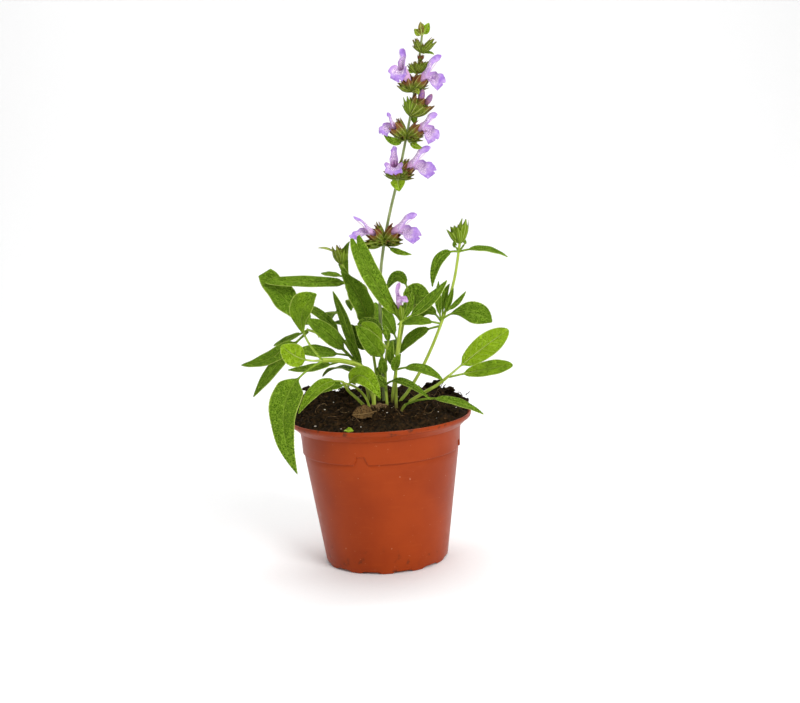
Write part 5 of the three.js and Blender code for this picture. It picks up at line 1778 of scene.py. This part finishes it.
# %% The shoot with buds at the left
shoot(
    "bud_shoot", -0.05,
    stems=[((1.5, 1.2), [(-1, 12, 122), (-4, 14, 162), (-9, 14, 190), (-16, 13, 211), (-25, 12, 233)])],
    leaves=[
        ((-18, 12.5, 215), (-54, 8, 218.7), (-81.5, 5, 220.4), 10, (0, -0.8, 0.7),
         dict(petiole=0.03, **STRAP)),
        ((-20, 12, 220), (-32.5, 18, 221.7), (-40.4, 24, 222.5), 7, (0, -0.4, 1), SMALL),
        ((-6, 14, 178), (-10.5, 0, 203), (-24, -6, 227), 18, (0.4, -1, 0.4), dict(wave=0.7, petiole=0.06)),
        ((-17, 13, 214), (-22, 18, 231), (-17, 21, 246), 7, (-0.3, -1, 0.1), SMALL),
        ((-11, 14, 197), (-8, 8, 207), (-8, 5, 215), 6, (0.4, -1, 0.2), SMALL),
        ((-16, 12, 211), (-20, 7, 222), (-26, 7, 231), 5, (-0.6, -0.8, 0.2), SMALL),
        ((-13, 12, 204), (-18, 4, 213), (-17.6, 4, 223), 7, (-0.2, -1, 0.2), dict(tone=-0.4, **SMALL)),
        ((-5, 14, 162), (-6, 9, 178), (-5, 7, 194), 15, (0.3, -1, 0.3), dict(tone=-0.6)),
        ((-5, 14, 158), (-13, 9, 172), (-19, 8, 184), 12, (-0.2, -1, 0.3), dict(tone=-0.6)),
        ((-28, 12, 239), (-34, 11, 242.5), (-40.7, 10, 243.4), 1.6, (0, -1, 0.5), dict(tone=2.6)),
        ((-6, 14, 172), (-1, 28, 186), (0, 41, 195), 12, (0.3, -0.9, 0.5)),
        ((-11, 14, 196), (-17, 34, 199), (-20, 50, 188), 12, (-0.1, -0.2, 1)),
    ],
    cups=[
        ((-24, 12, 230), (-27.4, 11, 243), 0.85, 0.2, 0.3),
        ((-23.5, 12, 230.5), (-21, 9, 241), 0.9, 1.2, 0.6),
        ((-24, 12.5, 230), (-25, 16, 240), 0.75, 0.4, 0.5),
    ],
)

# %% The low shoots in front
shoot(
    "lower_left_shoot", 0.15,
    stems=[((1.5, 1.2), [(-11, -8, 121), (-17, -11, 130), (-23, -14, 137), (-27, -17, 145)]),
           ((1.2, 1.0), [(-8, -12, 119), (-10, -14, 130), (-18, -18, 141), (-26, -17, 144)])],
    leaves=[
        ((-27, -17, 145), (-43, -29, 145), (-60, -40, 128), 11, (-0.4, -0.9, 0.6), dict(tone=0.3)),
        ((-24, -15, 140), (-12, -27, 151), (1, -36, 135), 16, (0.1, -0.9, 0.6), dict(tone=0.5, petiole=0.08)),
        ((-25, -15, 141), (-33, -21, 143.5), (-44, -26, 139.5), 9, (0, -0.6, 0.8), SMALL),
    ],
)
shoot(
    "centre_shoot", 0.1,
    stems=[((1.5, 1.2), [(5, -5, 122), (5, -4, 143), (6, -4, 157), (9, -5, 175)])],
    leaves=[
        ((6, -4, 155), (-3, -16, 172), (-15, -20, 188), 14, (-0.2, -1, 0.5), dict(wave=0.6)),
        ((7, -4, 166), (-2.3, -14, 181), (-10.5, -17, 189), 12, (0.2, -1, 0.5), dict(tone=0.45)),
        ((8, -4, 170), (8, -9, 178), (5, -11, 187), 5, (0, -1, 0.2), SMALL),
        # painted shade: small leaves deep in the crown get dark tones
        ((9, -5, 173), (-3, -4, 186), (-14, -6, 186), 9, (0, -0.7, 0.8), dict(tone=-0.7, **SMALL)),
        ((5, -4, 144), (3.6, -12, 153.8), (2.6, -15, 162), 7, (0, -1, 0.3), SMALL),
        ((5, -5, 142), (0, -9, 149), (7, -10, 158), 5, (-0.3, -1, 0.2), dict(tone=-0.8, **SMALL)),
        ((5, -5, 134), (1, -12, 143), (-7, -16, 146), 8, (0, -0.9, 0.5), dict(tone=-0.5, **SMALL)),
        ((5, -4, 138), (18, -18, 143), (38, -30, 131), 7, (0, -0.6, 0.9), dict(tone=-0.4)),
    ],
)

# %% The shoots behind
# painted shade: the shoots behind get a dark tone
shoot(
    "back_right_shoot", -0.45,
    stems=[((1.4, 1.1), [(9, 15, 122), (16, 23, 158), (21, 28, 180), (27, 31, 202)])],
    leaves=[
        ((26.7, 31, 201), (19, 30, 216), (8.5, 30, 205), 9, (-0.1, -0.9, 0.5)),
        ((23, 29, 188), (31, 24, 201), (43, 20, 191), 19, (0.2, -1, 0.4), dict(wave=0.6)),
        ((20, 27, 176), (29, 47, 192), (36, 64, 184), 13, (0.2, 0.5, 1)),
        ((14, 21, 148), (12, 42, 161), (6, 60, 158), 13, (-0.2, 0.5, 1)),
        ((17, 24, 162), (8, 36, 182), (2, 42, 190), 12, (-0.4, 0.6, 0.7)),
    ],
)
shoot(
    "back_left_shoot", -0.45,
    stems=[((1.4, 1.1), [(-9, 16, 122), (-14, 25, 150), (-20, 33, 170), (-24, 38, 184)])],
    leaves=[
        ((-24, 38, 183), (-33, 54, 187), (-40, 72, 175), 14, (-0.3, 0.4, 1)),
        ((-22, 36, 177), (-36, 50, 178), (-48, 60, 166), 13, (-0.2, 0.1, 1)),
        ((-17, 29, 160), (-20, 48, 164), (-22, 68, 150), 15, (-0.1, 0.5, 1)),
        ((-19, 32, 167), (-9, 48, 174), (-2, 62, 168), 13, (0.4, 0.4, 0.9)),
        ((-12, 21, 138), (-30, 37, 145), (-46, 50, 136), 14, (-0.4, 0.4, 1)),
    ],
)

# %% [markdown]
# ## Small things
# A dead leaf lies on the peat in front of the stems. It is laid from the same blank as the
# living leaves, more rippled, and gets a brown finish of its own.

# %% Dead leaf
DEAD_BROWN = srgb(40, 26, 12)
DEAD_LIGHT = srgb(98, 72, 40)
DEAD_NET = srgb(134, 108, 66)
DEAD_RIB = srgb(150, 124, 80)
DRY_LEAF_PLACES = ((-2, -24, 2.8), (-11, -33, 3.6), (-20, -38, 2.6))


def dead_finish():
    bench = Bench("dead_leaf", Roughness=0.85, Specular_IOR_Level=0.1)
    where = bench.attribute("blade_mm")
    across = bench.split(bench.attribute("blade_share"))[0]
    net = bench.cells(where, 0.6)
    brown = bench.tint(DEAD_BROWN, DEAD_LIGHT, bench.noise(where, 0.5, 4.0), 0.35, 0.65)
    brown = bench.tint(brown, DEAD_NET, net, 0.0, 0.16, 0.6, 0.0)
    brown = bench.tint(brown, DEAD_RIB, across, 0.04, 0.12, 0.8, 0.0)
    brown = bench.tint(brown, DEAD_BROWN, across, 0.86, 1.0, 0.0, 0.7)
    return bench.finish(brown, height=net, depth=0.5, strength=0.9)


dry_line = [(x, y, peat_top(x, y) + lift) for x, y, lift in DRY_LEAF_PLACES]
dry = leaf(*dry_line, 13, (0.1, -0.8, 0.7), fold=0.5, wave=1.0, steps=5, petiole=0.12)
dry.data.materials.clear()
dry.data.materials.append(dead_finish())
for face in dry.data.polygons:
    face.material_index = 0
hand_over(join([dry], "dry_leaf_fine"), "dry_leaf", of_plant=False)

# %% [markdown]
# ## Floor and light
# The plant stands on a plain pale floor that curves up behind it, so that no horizon shows. A
# large soft light stands in front and to the right, a second fills the left, and one hangs
# overhead. A fourth lights the rising part of the floor, and a pale sky the rest.

# %% Floor
FLOOR_SIZE = (8, 4.4)
FLOOR_RISE = 3.5
PAPER_DARK = srgb(249, 249, 249)
PAPER_LIGHT = srgb(253, 253, 253)

bpy.context.scene.view_settings.view_transform = "Standard"


def studio_floor():
    clear_selection()
    bpy.ops.mesh.primitive_plane_add(size=1, location=(0, 0.2, -0.0002))
    floor = bpy.context.object
    floor.name = "studio_floor"
    edit()
    bpy.ops.transform.resize(value=(*FLOOR_SIZE, 1))
    bpy.ops.mesh.select_mode(type="EDGE")
    bpy.ops.mesh.select_all(action="DESELECT")
    leave_edit()
    for edge in floor.data.edges:
        edge.select = all(floor.data.vertices[end].co.y > 1 for end in edge.vertices)
    edit()
    bpy.ops.mesh.extrude_region_move(TRANSFORM_OT_translate={"value": (0, 0, FLOOR_RISE)})
    leave_edit()
    apply_modifier(floor, "BEVEL", width=1.2, segments=24)
    bpy.ops.object.shade_smooth()
    bench = Bench("floor_paper", Roughness=0.9, Specular_IOR_Level=0.2)
    grain = bench.noise(bench.place(), 300, 2.0)
    floor.data.materials.append(bench.finish(bench.blend(grain, PAPER_DARK, PAPER_LIGHT)))
    floor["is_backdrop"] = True
    return floor


print("floor:", len(studio_floor().data.polygons), "faces")

# %% Light
PLANT_MIDDLE = (0, 0, 0.18)
SKY_STRENGTH = 0.38


def soft_light(name, place, size, power, aim=PLANT_MIDDLE):
    clear_selection()
    bpy.ops.object.light_add(type="AREA", location=place)
    lamp = bpy.context.object
    lamp.name = name
    lamp.data.energy = power
    lamp.data.shape = "RECTANGLE"
    lamp.data.size, lamp.data.size_y = size
    lamp.rotation_euler = (Vector(aim) - Vector(place)).to_track_quat("-Z", "Y").to_euler()


soft_light("key", (0.9, -1.4, 1.0), (0.8, 0.8), 24)
soft_light("fill", (-1.3, -1.1, 0.8), (1.2, 1.2), 4)
soft_light("top", (0.1, 0.3, 1.7), (1.4, 1.4), 12)
soft_light("backdrop", (0.0, 0.9, 2.3), (2.5, 0.8), 22, aim=(0, 2.4, 0.5))
sky = bpy.data.worlds.new("pale_sky")
bpy.context.scene.world = sky
sky.use_nodes = True
sky_light = sky.node_tree.nodes["Background"].inputs
sky_light["Color"].default_value = (1.0, 1.0, 1.0, 1.0)
sky_light["Strength"].default_value = SKY_STRENGTH

# %% Finish
dressed_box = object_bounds()
sizes = {"solid": [list(corner) for corner in solid_box],
         "dressed": [list(corner) for corner in dressed_box]}
for which, corners in sizes.items():
    print(which, [[round(c / MM, 1) for c in corner] for corner in corners])
